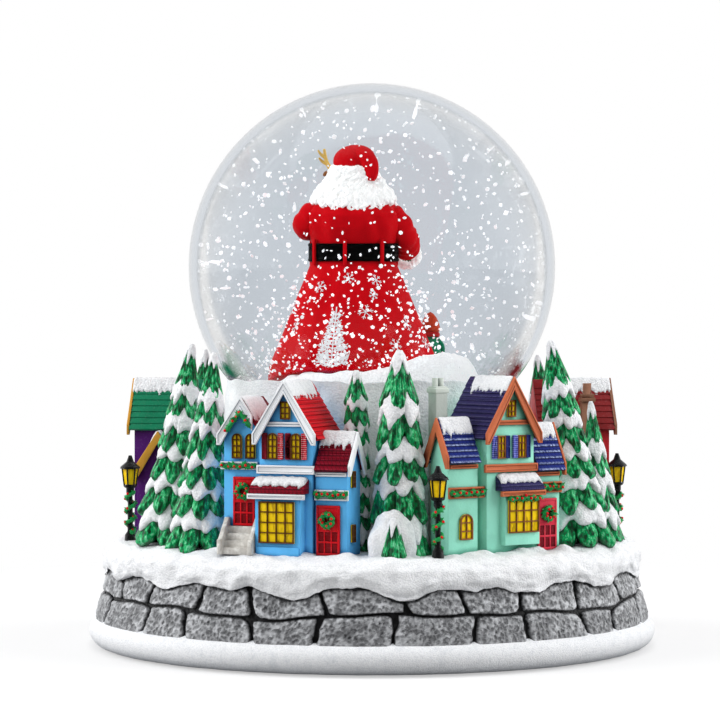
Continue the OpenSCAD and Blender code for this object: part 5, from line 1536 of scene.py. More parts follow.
class SNOWGLOBE_OT_snow(bpy.types.Operator):
    """Snow: blanket with its hanging lip, roll round the foot and drift under the ball"""

    bl_idname = "snowglobe.snow"
    bl_label = "Snow"

    def execute(self, context):
        lumpy = sizes().snow_lump / MM
        inner = COLLAR_FOOT_R + 1.0
        rows = 72
        heaps = snow_heaps()

        def blanket(angle, row):
            azimuth = degrees(angle) + 90
            around = vec(cos(angle), sin(angle), 0.3)
            ripple = 0.5 * noise.noise(around * 21) + 0.3 * noise.noise(around * 46)
            low = lip_low(azimuth) + 0.5 * ripple
            face = mortar_r(low) + STONE_PROUD + 0.35
            belly = 0.45 * sin(9 * angle + 0.5) + 0.9 * ripple
            section = (
                (inner, DECK_Z + 0.12), (mortar_r(DECK_Z) + STONE_PROUD - 0.4, DECK_Z + 0.12),
                (face, low + 0.9), (face + 0.15, low + 0.2), (face + 0.9, low),
                (STONE_FOOT_R - 3.0 + belly, low + 1.3),
                (STONE_FOOT_R - 2.5 + belly, low + 3.0), (STONE_FOOT_R - 3.3 + belly, GROUND - 3.2),
                (PLATEAU_R + 2.6, GROUND - 1.2), (PLATEAU_R + 0.4, GROUND - 0.2), (PLATEAU_R - 3, GROUND),
                (76.0, GROUND), (73.0, GROUND), (68.0, GROUND), (60.0, GROUND), (inner, GROUND),
                (inner, DECK_Z + 0.12),
            )
            share = row / (rows - 1) * (len(section) - 1)
            k = min(int(share), len(section) - 2)
            part = share - k
            radius = section[k][0] + (section[k + 1][0] - section[k][0]) * part
            height = section[k][1] + (section[k + 1][1] - section[k][1]) * part
            if 3.5 < share < 15.0:
                spot = ring(radius, angle, height)
                soft = 2.2 * noise.noise(spot * 0.16) + 1.1 * noise.noise(spot * 0.42)
                height += lumpy * (soft + 0.7 * noise.noise(spot * 0.95)) - 0.2
                bulge = 2.6 * noise.noise(spot * 0.24 + vec(9, 2, 4)) + 1.2 * noise.noise(spot * 0.7)
                radius += lumpy * bulge
                radius = min(radius, STONE_FOOT_R + 1.2)
                for x, y, span, rise in heaps:
                    far = ((spot.x - x) ** 2 + (spot.y - y) ** 2) / span ** 2
                    if far < 6:
                        height += rise * exp(-far)
            return ring(radius, angle, height)

        bm = spun(rows, 480, blanket)
        bmesh.ops.smooth_vert(
            bm, verts=bm.verts, factor=0.3, use_axis_x=True, use_axis_y=True, use_axis_z=True
        )
        white = snow_finish("snow_ground")
        piece("snow_blanket", bm, [white], ("snow_bank",))

        sides = 25

        def roll(angle, row):
            turn = tau * row / (sides - 1)
            spot = vec(cos(angle), sin(angle), 0) * RIM_R
            swell = RIM_TUBE - 0.12 + 0.1 * noise.noise(spot * 0.2 + vec(0, 0, cos(turn)))
            radius = RIM_R + swell * cos(turn)
            height = 0.3 + RIM_TUBE + swell * sin(turn)
            radius = max(radius, FOOT_R + 0.12)
            return ring(radius, angle, height)

        grain = snow_finish("snow_roll", shade=srgb(150, 160, 174), grain=2600.0, hollow=0.35, bump=0.35)
        piece("snow_roll", spun(sides, 240, roll), [grain], ("snow_rim",))
        pale = snow_finish("snow_collar", shade=srgb(196, 204, 214), grain=1500.0, hollow=0.3)
        dress("globe_collar", pale)
        levels = 30

        def bank(angle, row):
            around = vec(cos(angle), sin(angle), 0)
            top = COLLAR_TOP_Z + 1.6 + 1.5 * noise.noise(around * 5.0)
            if row >= levels - 2:
                height = top - 0.2 if row == levels - 2 else top - 3.4
                radius = sqrt(BALL_R ** 2 - (BALL_Z - height) ** 2) + 0.12
                return around * radius + vec(0, 0, height)
            share = row / (levels - 3)
            height = GROUND - 0.6 + (top - 0.5 - GROUND + 0.6) * share
            radius = COLLAR_FOOT_R + (COLLAR_TOP_R - COLLAR_FOOT_R) * share
            spot = around * radius + vec(0, 0, height)
            radius += 0.75 + 0.7 * noise.noise(spot * 0.16) + 0.45 * noise.noise(spot * 0.4)
            radius += 0.2 * noise.noise(spot)
            close = sqrt(max(0.0, BALL_R ** 2 - (BALL_Z - height) ** 2)) + 0.35
            return around * max(radius, close) + vec(0, 0, height)

        drift = spun(levels, 240, bank)
        piece("collar_drift", drift, [pale])
        return {"FINISHED"}


# Pines


def pine_away(out, wide):
    """Distance of a pine from the middle of the base."""
    return max(FRONT_R + out, COLLAR_FOOT_R + 1.2 + PINE_R * wide)


def tier_levels(height, tiers):
    """Heights of the lower ends of the tiers and of the top; the top tier is the tallest."""
    weights = [1.0 + 0.12 * sin(3.1 * i + tiers) for i in range(tiers - 1)] + [1.45]
    total = sum(weights)
    levels = [0.0]
    for weight in weights:
        levels.append(levels[-1] + height * weight / total)
    return levels


def bough_tier(bm, place, low, high, reach, neck, lobes, phase, shift, last):
    """Adds one tier of lobed boughs and the snow that lies on it."""
    span = high - low
    scale = reach / PINE_R

    def bough(angle, share, bare):
        lobe = abs(cos(lobes * angle / 2 + phase)) ** 0.6
        uneven = noise.noise(vec(cos(angle), sin(angle), low) * 1.9 + shift)
        open_end = 1 - share
        radius = neck + (reach - neck) * open_end ** 1.12
        radius *= 1 - (0.42 if bare else 0.24) * (1 - lobe) * open_end ** 0.6
        radius *= 1 + 0.14 * uneven * open_end
        drop = span * (0.34 * lobe - 0.14 + 0.14 * uneven) * open_end ** 1.4
        if bare:
            radius *= 1 - 0.2 * max(0.0, 1 - share * 8) ** 2
            wander = 1.6 * noise.noise(vec(angle * 2, share * 2.4, low) + shift)
            ridge = abs(sin(lobes * 1.5 * angle + phase * 3 + wander))
            fine = abs(sin(lobes * 4 * angle + phase * 5 + 1.7 * wander))
            relief = 0.4 * (ridge - 0.5) + 0.3 * (fine - 0.5)
            radius += relief * min(1, 4 * open_end) * min(1, scale ** 0.5)
        return radius, low + 0.12 * span + span * 0.88 * share - drop

    def green(angle, row):
        if row == 0:
            return vec(0, 0, low + 0.4 * span)
        if row == 18:
            return vec(0, 0, high)
        if row < 3:
            radius, z = bough(angle, 0.0, True)
            radius *= 0.45 if row == 1 else 0.85
            z = low + 0.34 * span if row == 1 else z + 0.05 * span
        else:
            radius, z = bough(angle, ((row - 3) / 14.0) ** 1.25, True)
        return ring(radius, angle, z)

    def hood(angle, row):
        ragged = noise.noise(vec(cos(angle), sin(angle), low + 7) * 2.1 + shift)
        edge = 0.47 + 0.08 * sin(lobes * angle + phase * 2) + 0.2 * ragged
        edge = max(0.2, min(edge + (0.2 if last else 0.0), 0.82))
        if row == 0:
            return vec(0, 0, high + (0.0 if last else 0.2))
        if row == 15:
            return vec(0, 0, low + span * 0.6)
        if row == 14:
            radius, z = bough(angle, edge, False)
            radius = max(0.05, radius - 1.2)
            return ring(radius, angle, z + 0.3)
        part = (row - 1) / 12.0
        radius, z = bough(angle, 1 - (1 - edge) * part, False)
        thick = 0.25 + 1.1 * sqrt(max(0.0, 1 - part ** 7)) * min(1, 0.3 + part * 1.6)
        thick *= max(0.6, scale ** 0.5) * (0.65 if last else 1.0)
        spot = ring(radius, angle, z)
        thick += 0.4 * noise.noise(spot * 0.6 + shift) * min(1, scale) * min(1, part * 2)
        radius += thick * 0.85
        return ring(radius, angle, min(z + thick * 0.35, high + 0.3))

    add_to(bm, spun(19, 168, green), 0, place)
    add_to(bm, spun(16, 110, hood), 1, place)


def pine_parts(rows, seed):
    """Boughs and snow of a row of pines, as one mesh with two finishes."""
    bm = bmesh.new()
    for number, (arc, out, tall, wide, tiers, lean, crown) in enumerate(rows):
        height = PINE_H * tall
        girth = PINE_R * wide
        place = stand(arc, pine_away(out, wide))
        if tiers == 1:
            shift = vec(3.3, 8.1, 2.2)
            add_to(bm, lump((0, 1.4, 2.6), 1.0, 4, 0.16, 5, (girth, girth * 0.74, height - 3.4)), 1, place)
            ahead = place @ Matrix.Translation((0.3, -3.4, 0))
            bough_tier(bm, ahead, -1.5, height * 0.8, 4.7, 0.7, 5, 0.9, shift, True)
            continue
        lift = Matrix.Translation((0, 0, lean * girth * 0.0095))
        place = place @ Matrix.Rotation(radians(-lean), 4, "X") @ lift
        levels = tier_levels(height, tiers)
        for tier in range(tiers):
            last = tier == tiers - 1
            low = levels[tier] - (1.4 if tier == 0 else 0.0)
            high = height if last else levels[tier + 1] + 0.3 * (levels[tier + 1] - levels[tier])
            reach = girth * (1 - (1 - crown) * tier / (tiers - 1))
            neck = reach * 0.1 if last else girth * (1 - (1 - crown) * (tier + 1) / (tiers - 1)) * 0.56
            lobes = 5 if last else 6 if tier > tiers - 3 else 7
            shift = vec(number * 5.1 + seed, tier * 3.3, 0)
            bough_tier(bm, place, low, high, reach, neck, lobes, tier * 1.9 + number * 0.7, shift, last)
    return bm


class SNOWGLOBE_OT_pines(bpy.types.Operator):
    """Pines with snow on their boughs"""

    bl_idname = "snowglobe.pines"
    bl_label = "Pines"

    def execute(self, context):
        light = colours().pine
        values = {"Light": light, "Dark": [part * 0.1 for part in light], "Scale": 760.0}
        green = surface("pine_green", "bough", values, bump=1.0, metallic=0.15, coat=0.35, shine=0.45)
        white = snow_finish("snow_on_boughs", grain=1500.0, hollow=0.45)
        finishes = [green, white]
        piece("tall_snowy_pines", pine_parts(TALL_PINES, 1.0), finishes, ("tall_pines",))
        piece("small_snowy_pines", pine_parts(SMALL_PINES, 8.0), finishes, ("small_pines",))
        return {"FINISHED"}


# Village


def soft_piece(node, finishes, choose=None, panel=None):
    """Rounded copy of a cast node, with a finish for each face and recessed panels where asked; the groove
    walls of the panels take the last finish as painted shade.
    """
    bm = rounded_copy(node, sizes().edge_round / MM)
    if choose is not None:
        for face in bm.faces:
            face.material_index = choose(face.calc_center_median())
    if panel is not None:
        broad = [f for f in bm.faces if panel(f)]
        bmesh.ops.inset_individual(bm, faces=broad, thickness=0.36, depth=0.0, use_even_offset=True)
        groove = bmesh.ops.inset_individual(
            bm, faces=broad, thickness=0.16, depth=-0.2, use_even_offset=True
        )
        # Painted shade: the groove walls take the last, darker finish
        for face in groove["faces"]:
            face.material_index = len(finishes) - 1
    return piece(node + "_finished", bm, finishes, (node,), crease=35)


def leaves_along(bm, path, width, rng, berries):
    """Leafy garland with berries along a path."""
    count = len(path)
    add_to(bm, tube(path, [width * (0.44 + 0.1 * sin(i * 2.1)) for i in range(count)], 7), LEAF)
    length = sum((path[i + 1] - path[i]).length for i in range(count - 1))
    for _ in range(int(length * 4.5)):
        k = rng.randrange(count - 1)
        spot = path[k].lerp(path[k + 1], rng.random())
        way = vec(rng.uniform(-1, 1), rng.uniform(-1, 1), rng.uniform(-1, 1)).normalized()
        at = Matrix.Translation(spot + way * width * 0.45) @ way.to_track_quat("Z", "Y").to_matrix().to_4x4()
        cone = bmesh.new()
        bmesh.ops.create_cone(
            cone, cap_ends=True, segments=4, radius1=width * 0.34, radius2=0.03, depth=width * 0.95,
            matrix=at,
        )
        add_to(bm, cone, LEAF)
    for i in range(berries):
        spot = path[int((i + 0.5) * (count - 1) / berries)]
        side = vec(rng.uniform(-0.3, 0.3), rng.uniform(-0.3, 0.3), rng.uniform(-0.2, 0.5))
        front = vec(spot.x, spot.y, 0).normalized() * width * 0.42
        add_to(bm, lump(spot + front + side * width * 0.5, BERRY_R, 2, 0.1, i), BERRY)


def swag(place, x0, x1, y, z, sag, drops):
    """Path of a garland that hangs in swags along a front."""
    out = []
    for i in range(drops * 8 + 1):
        share = i / (drops * 8)
        hang = (share * drops) % 1.0
        dip = sag * 4 * hang * (1 - hang)
        out.append(place @ vec(x0 + (x1 - x0) * share, y, z - dip))
    return out


def wreath_path(place, x, y, z):
    """Ring of a wreath on a door."""
    turns = [i * tau / 20 for i in range(21)]
    return [place @ vec(x + WREATH_R * cos(turn), y, z + WREATH_R * sin(turn)) for turn in turns]


def garlands(name, place, rng, swags, peaks, wreaths):
    """Garlands of a house: swags along its fronts, others up its gables, and wreaths on its doors."""
    green = bmesh.new()
    for *row, berries in swags:
        leaves_along(green, swag(place, *row), GARLAND_W, rng, berries)
    for peak in peaks:
        leaves_along(green, [place @ Vector(spot) for spot in peak], GARLAND_W, rng, 5)
    for x, y, z in wreaths:
        leaves_along(green, wreath_path(place, x, y, z), WREATH_W, rng, 7)
    leaf = paint("garland_green", srgb(18, 156, 76), srgb(2, 64, 28), 0.7, 0.35, 0.6, fine=1100.0, shine=0.4)
    berry = paint("berry_red", srgb(232, 18, 26), srgb(130, 0, 8), 0.3, 0.3, 0.05, coat=0.2)
    piece(name, green, [leaf, berry])


def lay_sheet(bm, place, sheet):
    """Thickens a sheet of snow and adds it to a larger mesh."""
    bmesh.ops.recalc_face_normals(sheet, faces=sheet.faces)
    if sum(f.normal.z for f in sheet.faces) < 0:
        bmesh.ops.reverse_faces(sheet, faces=sheet.faces)
    bmesh.ops.solidify(sheet, geom=sheet.faces[:], thickness=0.3)
    bmesh.ops.recalc_face_normals(sheet, faces=sheet.faces)
    add_to(bm, sheet, 0, place)


def ridge_snow(bm, place, roof, start, end, share, seed):
    """Snow along a ridge with a ragged lower edge on each slope; the ridge runs along y."""
    width, eave, ridge = roof
    run = width / 2 + EAVE_OVER
    fall = (ridge - eave) / (width / 2)
    slope = hypot(1, fall)
    lift = ROOF_T * slope
    long = max(24, int((end - start) * 3.2))
    sheet = bmesh.new()
    bmesh.ops.create_grid(sheet, x_segments=18, y_segments=long, size=1.0)
    for vert in sheet.verts:
        u, v = vert.co.x, vert.co.y
        y = start + (end - start) * (v + 1) / 2
        side = 1 if u > 0 else -1
        ragged = 0.42 * noise.noise(vec(y * 0.75, side * 7, seed))
        ragged += 0.22 * noise.noise(vec(y * 2.2, side * 3, seed + 4))
        d = abs(u) * run * min(share * (1 + ragged), 0.97)
        puff = 0.8 * sqrt(max(0.0, 1 - abs(u) ** 4)) * min(1.0, (1 - abs(v)) * long * 0.14 + 0.45)
        puff *= 1 + 0.35 * noise.noise(vec(d * side * 0.5, y * 0.5, seed + 9))
        x = side * d + side * puff * fall / slope * 0.7
        z = ridge + lift - d * fall + puff / slope + 0.1
        if abs(u) > 0.99:
            z -= 0.15
        vert.co = (x, y, z)
    lay_sheet(bm, place, sheet)


def cross_ridge(place, wing_x, mid_y):
    """Frame whose y runs along the front, for a roof whose ridge runs along x."""
    return place @ Matrix.Translation((wing_x, mid_y, 0)) @ Matrix.Rotation(radians(-90), 4, "Z")


def hood_snow(bm, place, x0, x1, z, deep, rise, seed):
    """Snow that lies on a lean-to hood."""
    sheet = bmesh.new()
    bmesh.ops.create_grid(sheet, x_segments=30, y_segments=12, size=1.0)
    for vert in sheet.verts:
        u, v = vert.co.x, vert.co.y
        ragged = 0.66 + 0.2 * noise.noise(vec(u * 5.5, seed, 1)) + 0.1 * noise.noise(vec(u * 13, seed, 2))
        share = (1 - v) / 2 * ragged
        if share < 0.45:
            fall = rise * (1 - 0.25 * share / 0.45)
        else:
            fall = rise * (0.75 - 0.57 * (share - 0.45) / 0.55)
        puff = sqrt(max(0.0, 1 - u ** 8)) * sqrt(max(0.0, 1 - max(0.0, -v) ** 6))
        puff *= 1 + 0.3 * noise.noise(vec(u * 6, v * 3, seed))
        x = x0 + 0.2 + (x1 - x0 - 0.4) * (u + 1) / 2
        vert.co = (x, -deep * share - 0.15, z + fall + puff * 0.9 + 0.05)
    lay_sheet(bm, place, sheet)


def roof_snow():
    """Snow on the roofs."""
    return snow_finish("snow_on_roofs", grain=1700.0, hollow=0.4)


def faces_front(place, least):
    """Test for broad faces that look out of a house's front."""
    out = (place.to_3x3() @ vec(0, -1, 0)).normalized()
    return lambda face: face.normal.dot(out) > 0.97 and face.calc_area() > least


def pane_finish():
    """Window panes painted as lit, with amber brush marks and painted shade in the recesses."""
    values = {"Light": srgb(255, 214, 10), "Dark": srgb(126, 74, 4)}
    return surface("pane_yellow", "pane", values, bump=0.15, shine=0.2)


def tiled_finish(name, place, roof, coat, wash, light, split=1, width=1.3, gaps=1.0, brush=0.4):
    """Shingles that follow the courses of a cast roof, given its width, eave and ridge."""
    half = roof[0] / 2
    rise = roof[2] - roof[1]
    row = rise * (1 + EAVE_OVER / half) / COURSES / split
    top = GROUND + roof[2] + (ROOF_T + 0.3) * half / hypot(half, rise)
    values = {
        "Paint": coat, "Wash": wash, "Light": light, "Top": top * MM, "Row": row * MM, "Width": width * MM,
        "Along": place.to_3x3() @ vec(1, 1, 0), "Gaps": gaps, "Brush": brush,
    }
    return surface(name, "shingle", values, bump=0.5, shine=0.12)


def louvre_finish(name, coat, wash, light):
    """Slatted shutter with a painted highlight on the slat edges and painted shadow under each slat."""
    values = {
        "Paint": coat, "Wash": wash, "Light": light, "Top": 0.1, "Row": 0.00062, "Gaps": 0.0, "Brush": 0.9,
    }
    return surface(name, "shingle", values, bump=0.6, shine=0.15)


def nearest_roof(place, roofs, rest):
    """Chooser of the roof that a face belongs to, from rows of middle, half length, width, eave and ridge.

    A row with True at its end has a ridge that runs along the front.
    """
    back = place.inverted()

    def choose(middle):
        spot = back @ middle
        best, least = rest, inf
        for number, (x, y, long, width, eave, ridge, cross) in enumerate(roofs):
            off, far = abs(spot.x - x), abs(spot.y - y)
            if cross:
                off, far = far, off
            if off > width / 2 + EAVE_OVER + 0.6 or far > long:
                continue
            miss = abs(ridge + ROOF_T - off * (ridge - eave) / (width / 2) - spot.z)
            if miss < min(least, 3.0):
                best, least = number, miss
        return best

    return choose


def right_hand(place, windows, spread):
    """Chooser of the shutters that stand to the right of their windows."""
    back = place.inverted()

    def choose(middle):
        x = (back @ middle).x
        return 1 if any(0 < x - window < spread for window in windows) else 0

    return choose


def block(bm, place, low, high, finish=0, soft=0.12):
    """Adds a box with rounded edges between two corners of a house's frame."""
    low, high = Vector(low), Vector(high)
    box = bmesh.new()
    at = Matrix.Translation((low + high) / 2) @ Matrix.Diagonal((*(high - low), 1))
    bmesh.ops.create_cube(box, size=1.0, matrix=at)
    soften(box, soft)
    add_to(bm, box, finish, place)


def panelled_door(bm, place, x, y, z, width, height):
    """Door with a plain upper half for the wreath and two rows of three panels below."""
    left, right = x - width / 2, x + width / 2
    front, field, back = y - 0.85, y - 0.5, y - 0.05
    stile, bar, edge, inset = 0.72, 0.5, 0.3, 0.45
    block(bm, place, (left + 0.1, field, z + 0.1), (right - 0.1, back, z + height - 0.1), 1, 0.02)
    for x0, x1 in ((left, left + stile), (right - stile, right)):
        block(bm, place, (x0, front, z), (x1, back, z + height))
    for z0, z1 in ((0.0, 0.055), (0.25, 0.29), (0.475, 1.0)):
        block(bm, place, (left + 0.05, front + 0.02, z + height * z0), (right - 0.05, back, z + height * z1))
    pitch = (width - 2 * stile + bar) / 3
    for k in (1, 2):
        x0 = left + stile + k * pitch - bar
        block(bm, place, (x0, front + 0.05, z + 0.05), (x0 + bar, back, z + height * 0.49))
    low, high = left + inset, right - inset
    for x0, x1, z0 in ((low, high, 0.95), (low, low + edge, 0.5), (high - edge, high, 0.5)):
        block(bm, place, (x0, front - 0.14, z + height * z0), (x1, field, z + height * 0.97), 0, 0.06)


def wreath_spot(door):
    """Middle of the wreath on a door."""
    x, y, z, _, height = door
    return x, y - 1.5, z + height * WREATH_T


BLUE_DOORS = ((-14.2, 1.4, 8.4, 7.2, 15), (13.6, 1, 0.1, 7.6, 15.2))
BLUE_SWAGS = ((-21.6, -10.0, -0.1, 27.3, 0.9, 3, 6), (9.4, 20.0, -0.5, 19.2, 0.9, 3, 6))
BLUE_GABLE_X = -14.9
BLUE_GABLE = [
    (BLUE_GABLE_X + x, -0.9, 43.1 - abs(x) * 1.25) for x in (-4.6, -3.4, -2.2, -1.0, 0, 1.0, 2.2, 3.4)
]


class SNOWGLOBE_OT_blue_house(bpy.types.Operator):
    """Blue house with its roofs, trim, doors, windows and garlands"""

    bl_idname = "snowglobe.blue_house"
    bl_label = "Blue house"

    def execute(self, context):
        place = house_place(BLUE_ARC)
        wall = paint("wall_blue", colours().blue_wall, srgb(10, 84, 156), 0.85, 0.6, 0.35)
        soft_piece("blue_house", [wall])
        main, left_roof, wing = (17.4, 37, 51), (12.4, 36.5, 46), (11, 27.5, 35.6)
        # Roof colours: paint, the painted shadow under the rows and the painted highlight on their edges
        maroon, night, rose = srgb(122, 8, 30), srgb(40, 0, 10), srgb(176, 54, 74)
        red, wine, painted_glint = srgb(206, 12, 28), srgb(112, 0, 12), srgb(232, 70, 76)
        tiles = [
            tiled_finish("roof_red", place, main, red, wine, painted_glint, 2, gaps=0.0),
            tiled_finish("roof_maroon", place, left_roof, maroon, night, rose),
            tiled_finish("roof_wing", place, wing, maroon, night, rose),
        ]
        roofs = (
            (0, 9, 14, *main, False), (BLUE_GABLE_X, 9, 14, *left_roof, False), (14.4, 6.5, 4, *wing, True),
        )
        soft_piece("blue_house_roofs", tiles, nearest_roof(place, roofs, 2))
        white = paint("trim_white", srgb(244, 246, 249), srgb(116, 126, 144), 0.8, 0.5, 0.25)
        # Grey for the painted shade in the grooves of the trim
        shade = paint("trim_shade", srgb(150, 158, 172), srgb(96, 104, 120), 0.8, 0.5, 0.25)
        soft_piece("blue_house_trim", [white, shade], None, faces_front(place, 6.0))
        coat = paint("door_red", srgb(216, 10, 26), srgb(92, 0, 10), 0.9, 0.4, 0.15, coat=0.1)
        deep = paint("door_panel", srgb(132, 4, 16), srgb(60, 0, 6), 0.9, 0.5, 0.15)
        doors = bmesh.new()
        for door in BLUE_DOORS:
            panelled_door(doors, place, *door)
        piece("blue_doors", doors, [coat, deep], ("blue_house_doors",), crease=35)
        grey = {"Light": srgb(240, 238, 232), "Dark": srgb(184, 180, 173), "Scale": 300.0}
        soft_piece("blue_house_steps", [surface("step_grey", "stone", grey, bump=0.25)])
        soft_piece("blue_house_panes", [pane_finish()])
        brown = paint("sash_brown", srgb(96, 56, 22), srgb(40, 20, 6), 0.7, 0.45, 0.3)
        soft_piece("blue_house_sashes", [brown])
        shutter = paint("shutter_maroon", srgb(128, 10, 32), srgb(48, 0, 12), 0.9, 0.5, 0.3)
        louvre = louvre_finish("louvre_red", srgb(206, 40, 56), srgb(120, 6, 26), srgb(252, 226, 226))
        right = right_hand(place, (-4.2, 3.5), 3.6)
        soft_piece("blue_house_shutters", [shutter, louvre], right)
        snow = bmesh.new()
        ridge_snow(snow, place, main, -EAVE_OVER - 0.6, 18.4, 0.3, 3.0)
        ridge_snow(snow, place @ Matrix.Translation((BLUE_GABLE_X, 0, 0)), left_roof, 0.2, 14.8, 0.62, 12.0)
        ridge_snow(snow, cross_ridge(place, 14.4, 6.5), wing, -5.0, 6.0, 0.42, 23.0)
        hood_snow(snow, place, -10.4, 7.6, 18.8, 4.8, 4.2, 5.0)
        piece("blue_house_snow", snow, [roof_snow()])
        wreaths = [wreath_spot(door) for door in BLUE_DOORS]
        garlands("blue_house_garlands", place, random.Random(31), BLUE_SWAGS, [BLUE_GABLE], wreaths)
        return {"FINISHED"}


MINT_DOOR = (14.9, 1, 0.1, 7.4, 16)
MINT_SWAGS = (
    (-22.6, -10.0, 0.1, 19.4, 0.9, 3, 6), (10.2, 20.4, -0.5, 20.2, 0.9, 3, 6),
    (-3.4, 9.2, -3.6, 17.3, 0.8, 4, 7),
)


class SNOWGLOBE_OT_mint_house(bpy.types.Operator):
    """Mint house with its roofs, trim, door, windows, chimney and garlands"""

    bl_idname = "snowglobe.mint_house"
    bl_label = "Mint house"

    def execute(self, context):
        place = house_place(MINT_ARC)
        wall = paint("wall_mint", colours().mint_wall, srgb(22, 128, 98), 0.85, 0.6, 0.35)
        soft_piece("mint_house", [wall])
        main, left_wing, right_wing = (18.4, 37, 52), (9, 30.4, 39.4), (9, 27.4, 37)
        # Roof colours: paint, the painted shadow under the rows and the painted highlight on their edges
        navy, night, painted_glint = srgb(30, 44, 124), srgb(6, 8, 34), srgb(190, 206, 242)
        tiles = [
            tiled_finish("roof_navy", place, main, srgb(50, 46, 92), night, srgb(116, 112, 158), 2, 0.9),
            tiled_finish("roof_left_navy", place, left_wing, navy, night, painted_glint, 1, 1.5, 0.8, 0.8),
            tiled_finish("roof_right_navy", place, right_wing, navy, night, painted_glint, 1, 1.5, 0.8, 0.8),
        ]
        roofs = ((0, 9, 14, *main, False), (-17, 6.1, 4, *left_wing, True), (15, 5.5, 4, *right_wing, True))
        soft_piece("mint_house_roofs", tiles, nearest_roof(place, roofs, 0))
        copper = paint("trim_copper", srgb(206, 112, 74), srgb(92, 36, 16), 0.85, 0.5, 0.35)
        # Darker copper for the painted shade in the grooves of the trim
        shade = paint("trim_rust", srgb(120, 52, 28), srgb(66, 24, 10), 0.8, 0.5, 0.25)
        soft_piece("mint_house_trim", [copper, shade], None, faces_front(place, 6.0))
        pink = paint("door_pink", srgb(222, 52, 74), srgb(110, 10, 26), 0.9, 0.45, 0.2, coat=0.1)
        deep = paint("door_pink_panel", srgb(122, 16, 32), srgb(60, 4, 12), 0.9, 0.5, 0.15)
        door = bmesh.new()
        panelled_door(door, place, *MINT_DOOR)
        piece("pink_door", door, [pink, deep], ("mint_house_doors",), crease=35)
        soft_piece("mint_house_panes", [pane_finish()])
        tan = paint("sash_tan", srgb(150, 92, 52), srgb(66, 34, 14), 0.7, 0.45, 0.3)
        soft_piece("mint_house_sashes", [tan])
        shutter = paint("shutter_navy", srgb(34, 44, 122), srgb(10, 12, 50), 0.9, 0.5, 0.3)
        louvre = louvre_finish("louvre_blue", srgb(96, 104, 206), srgb(30, 36, 120), srgb(206, 210, 250))
        right = right_hand(place, (-4, 4), 3.6)
        soft_piece("mint_house_shutters", [louvre, shutter], right)
        pale = paint("chimney_pale", srgb(212, 220, 212), srgb(96, 112, 106), 0.8, 0.5, 0.4)
        soft_piece("mint_house_chimney", [pale])
        snow = bmesh.new()
        ridge_snow(snow, place, main, -EAVE_OVER - 0.2, 17.0, 0.26, 43.0)
        ridge_snow(snow, cross_ridge(place, -17, 6.1), left_wing, -6.0, 5.4, 0.42, 51.0)
        ridge_snow(snow, cross_ridge(place, 15, 5.5), right_wing, -5.0, 5.8, 0.36, 57.0)
        hood_snow(snow, place, -5.8, 10.6, 19.2, 3.6, 4.4, 8.0)
        heap = lump((0, 0, 0), 3.2, 3, 0.25, 4, (1.5, 0.9, 0.5))
        add_to(snow, heap, 0, place @ Matrix.Translation((-15.2, 8.2, 39.8)))
        piece("mint_house_snow", snow, [roof_snow()])
        garlands("mint_house_garlands", place, random.Random(37), MINT_SWAGS, [], [wreath_spot(MINT_DOOR)])
        return {"FINISHED"}


# Side houses: node, finish, slot, paint or its property, colour of the wash and painted shade, amount of
# painted shade in the hollows, gloss, relief and coat
SIDE_PARTS = (
    ("purple_house", "wall_purple", "wall_purple", "purple_wall", (26, 2, 40), 0.75, 0.45, 0.35, 0.0),
    ("purple_house_roofs", "roof_green", "roof_green", (18, 122, 86), (2, 44, 30), 0.8, 0.4, 0.4, 0.2),
    ("purple_house_trim", "trim_ochre", "trim_ochre", (208, 152, 56), (104, 62, 10), 0.8, 0.42, 0.3, 0.0),
    ("red_house", "wall_red", "wall_red", "red_wall", (84, 4, 12), 0.75, 0.45, 0.35, 0.0),
    ("red_house_roofs", "roof_brick", "roof_maroon", (132, 34, 36), (50, 6, 8), 0.8, 0.42, 0.4, 0.0),
    ("red_house_trim", "trim_brown", "trim_brown", (150, 106, 84), (66, 40, 28), 0.8, 0.45, 0.35, 0.0),
)


class SNOWGLOBE_OT_side_houses(bpy.types.Operator):
    """Purple and red houses at the sides"""

    bl_idname = "snowglobe.side_houses"
    bl_label = "Side houses"

    def execute(self, context):
        for node, name, slot, colour, wash, amount, gloss, bump, coat in SIDE_PARTS:
            tone = getattr(colours(), colour) if isinstance(colour, str) else srgb(*colour)
            finish = paint(name, tone, srgb(*wash), amount, gloss, bump, coat)
            soft_piece(node, [finish])
        snow = bmesh.new()
        sides = ((PURPLE_ARC, 1, 71.0, PURPLE_WING_Y), (RED_ARC, -1, 83.0, RED_WING_Y))
        for arc, hand, seed, wing_y in sides:
            place = house_place(arc) @ Matrix.Translation((0, -SIDE_OUT, 0))
            ridge_snow(snow, place, (17, 37, 50), -EAVE_OVER - 0.4, 17.6, 0.3, seed)
            wing = cross_ridge(place, hand * 11.4, wing_y + 7)
            ridge_snow(snow, wing, (14, 22, 33), -2.2, 2.4, 0.34, seed + 5)
        piece("side_house_snow", snow, [roof_snow()])
        return {"FINISHED"}


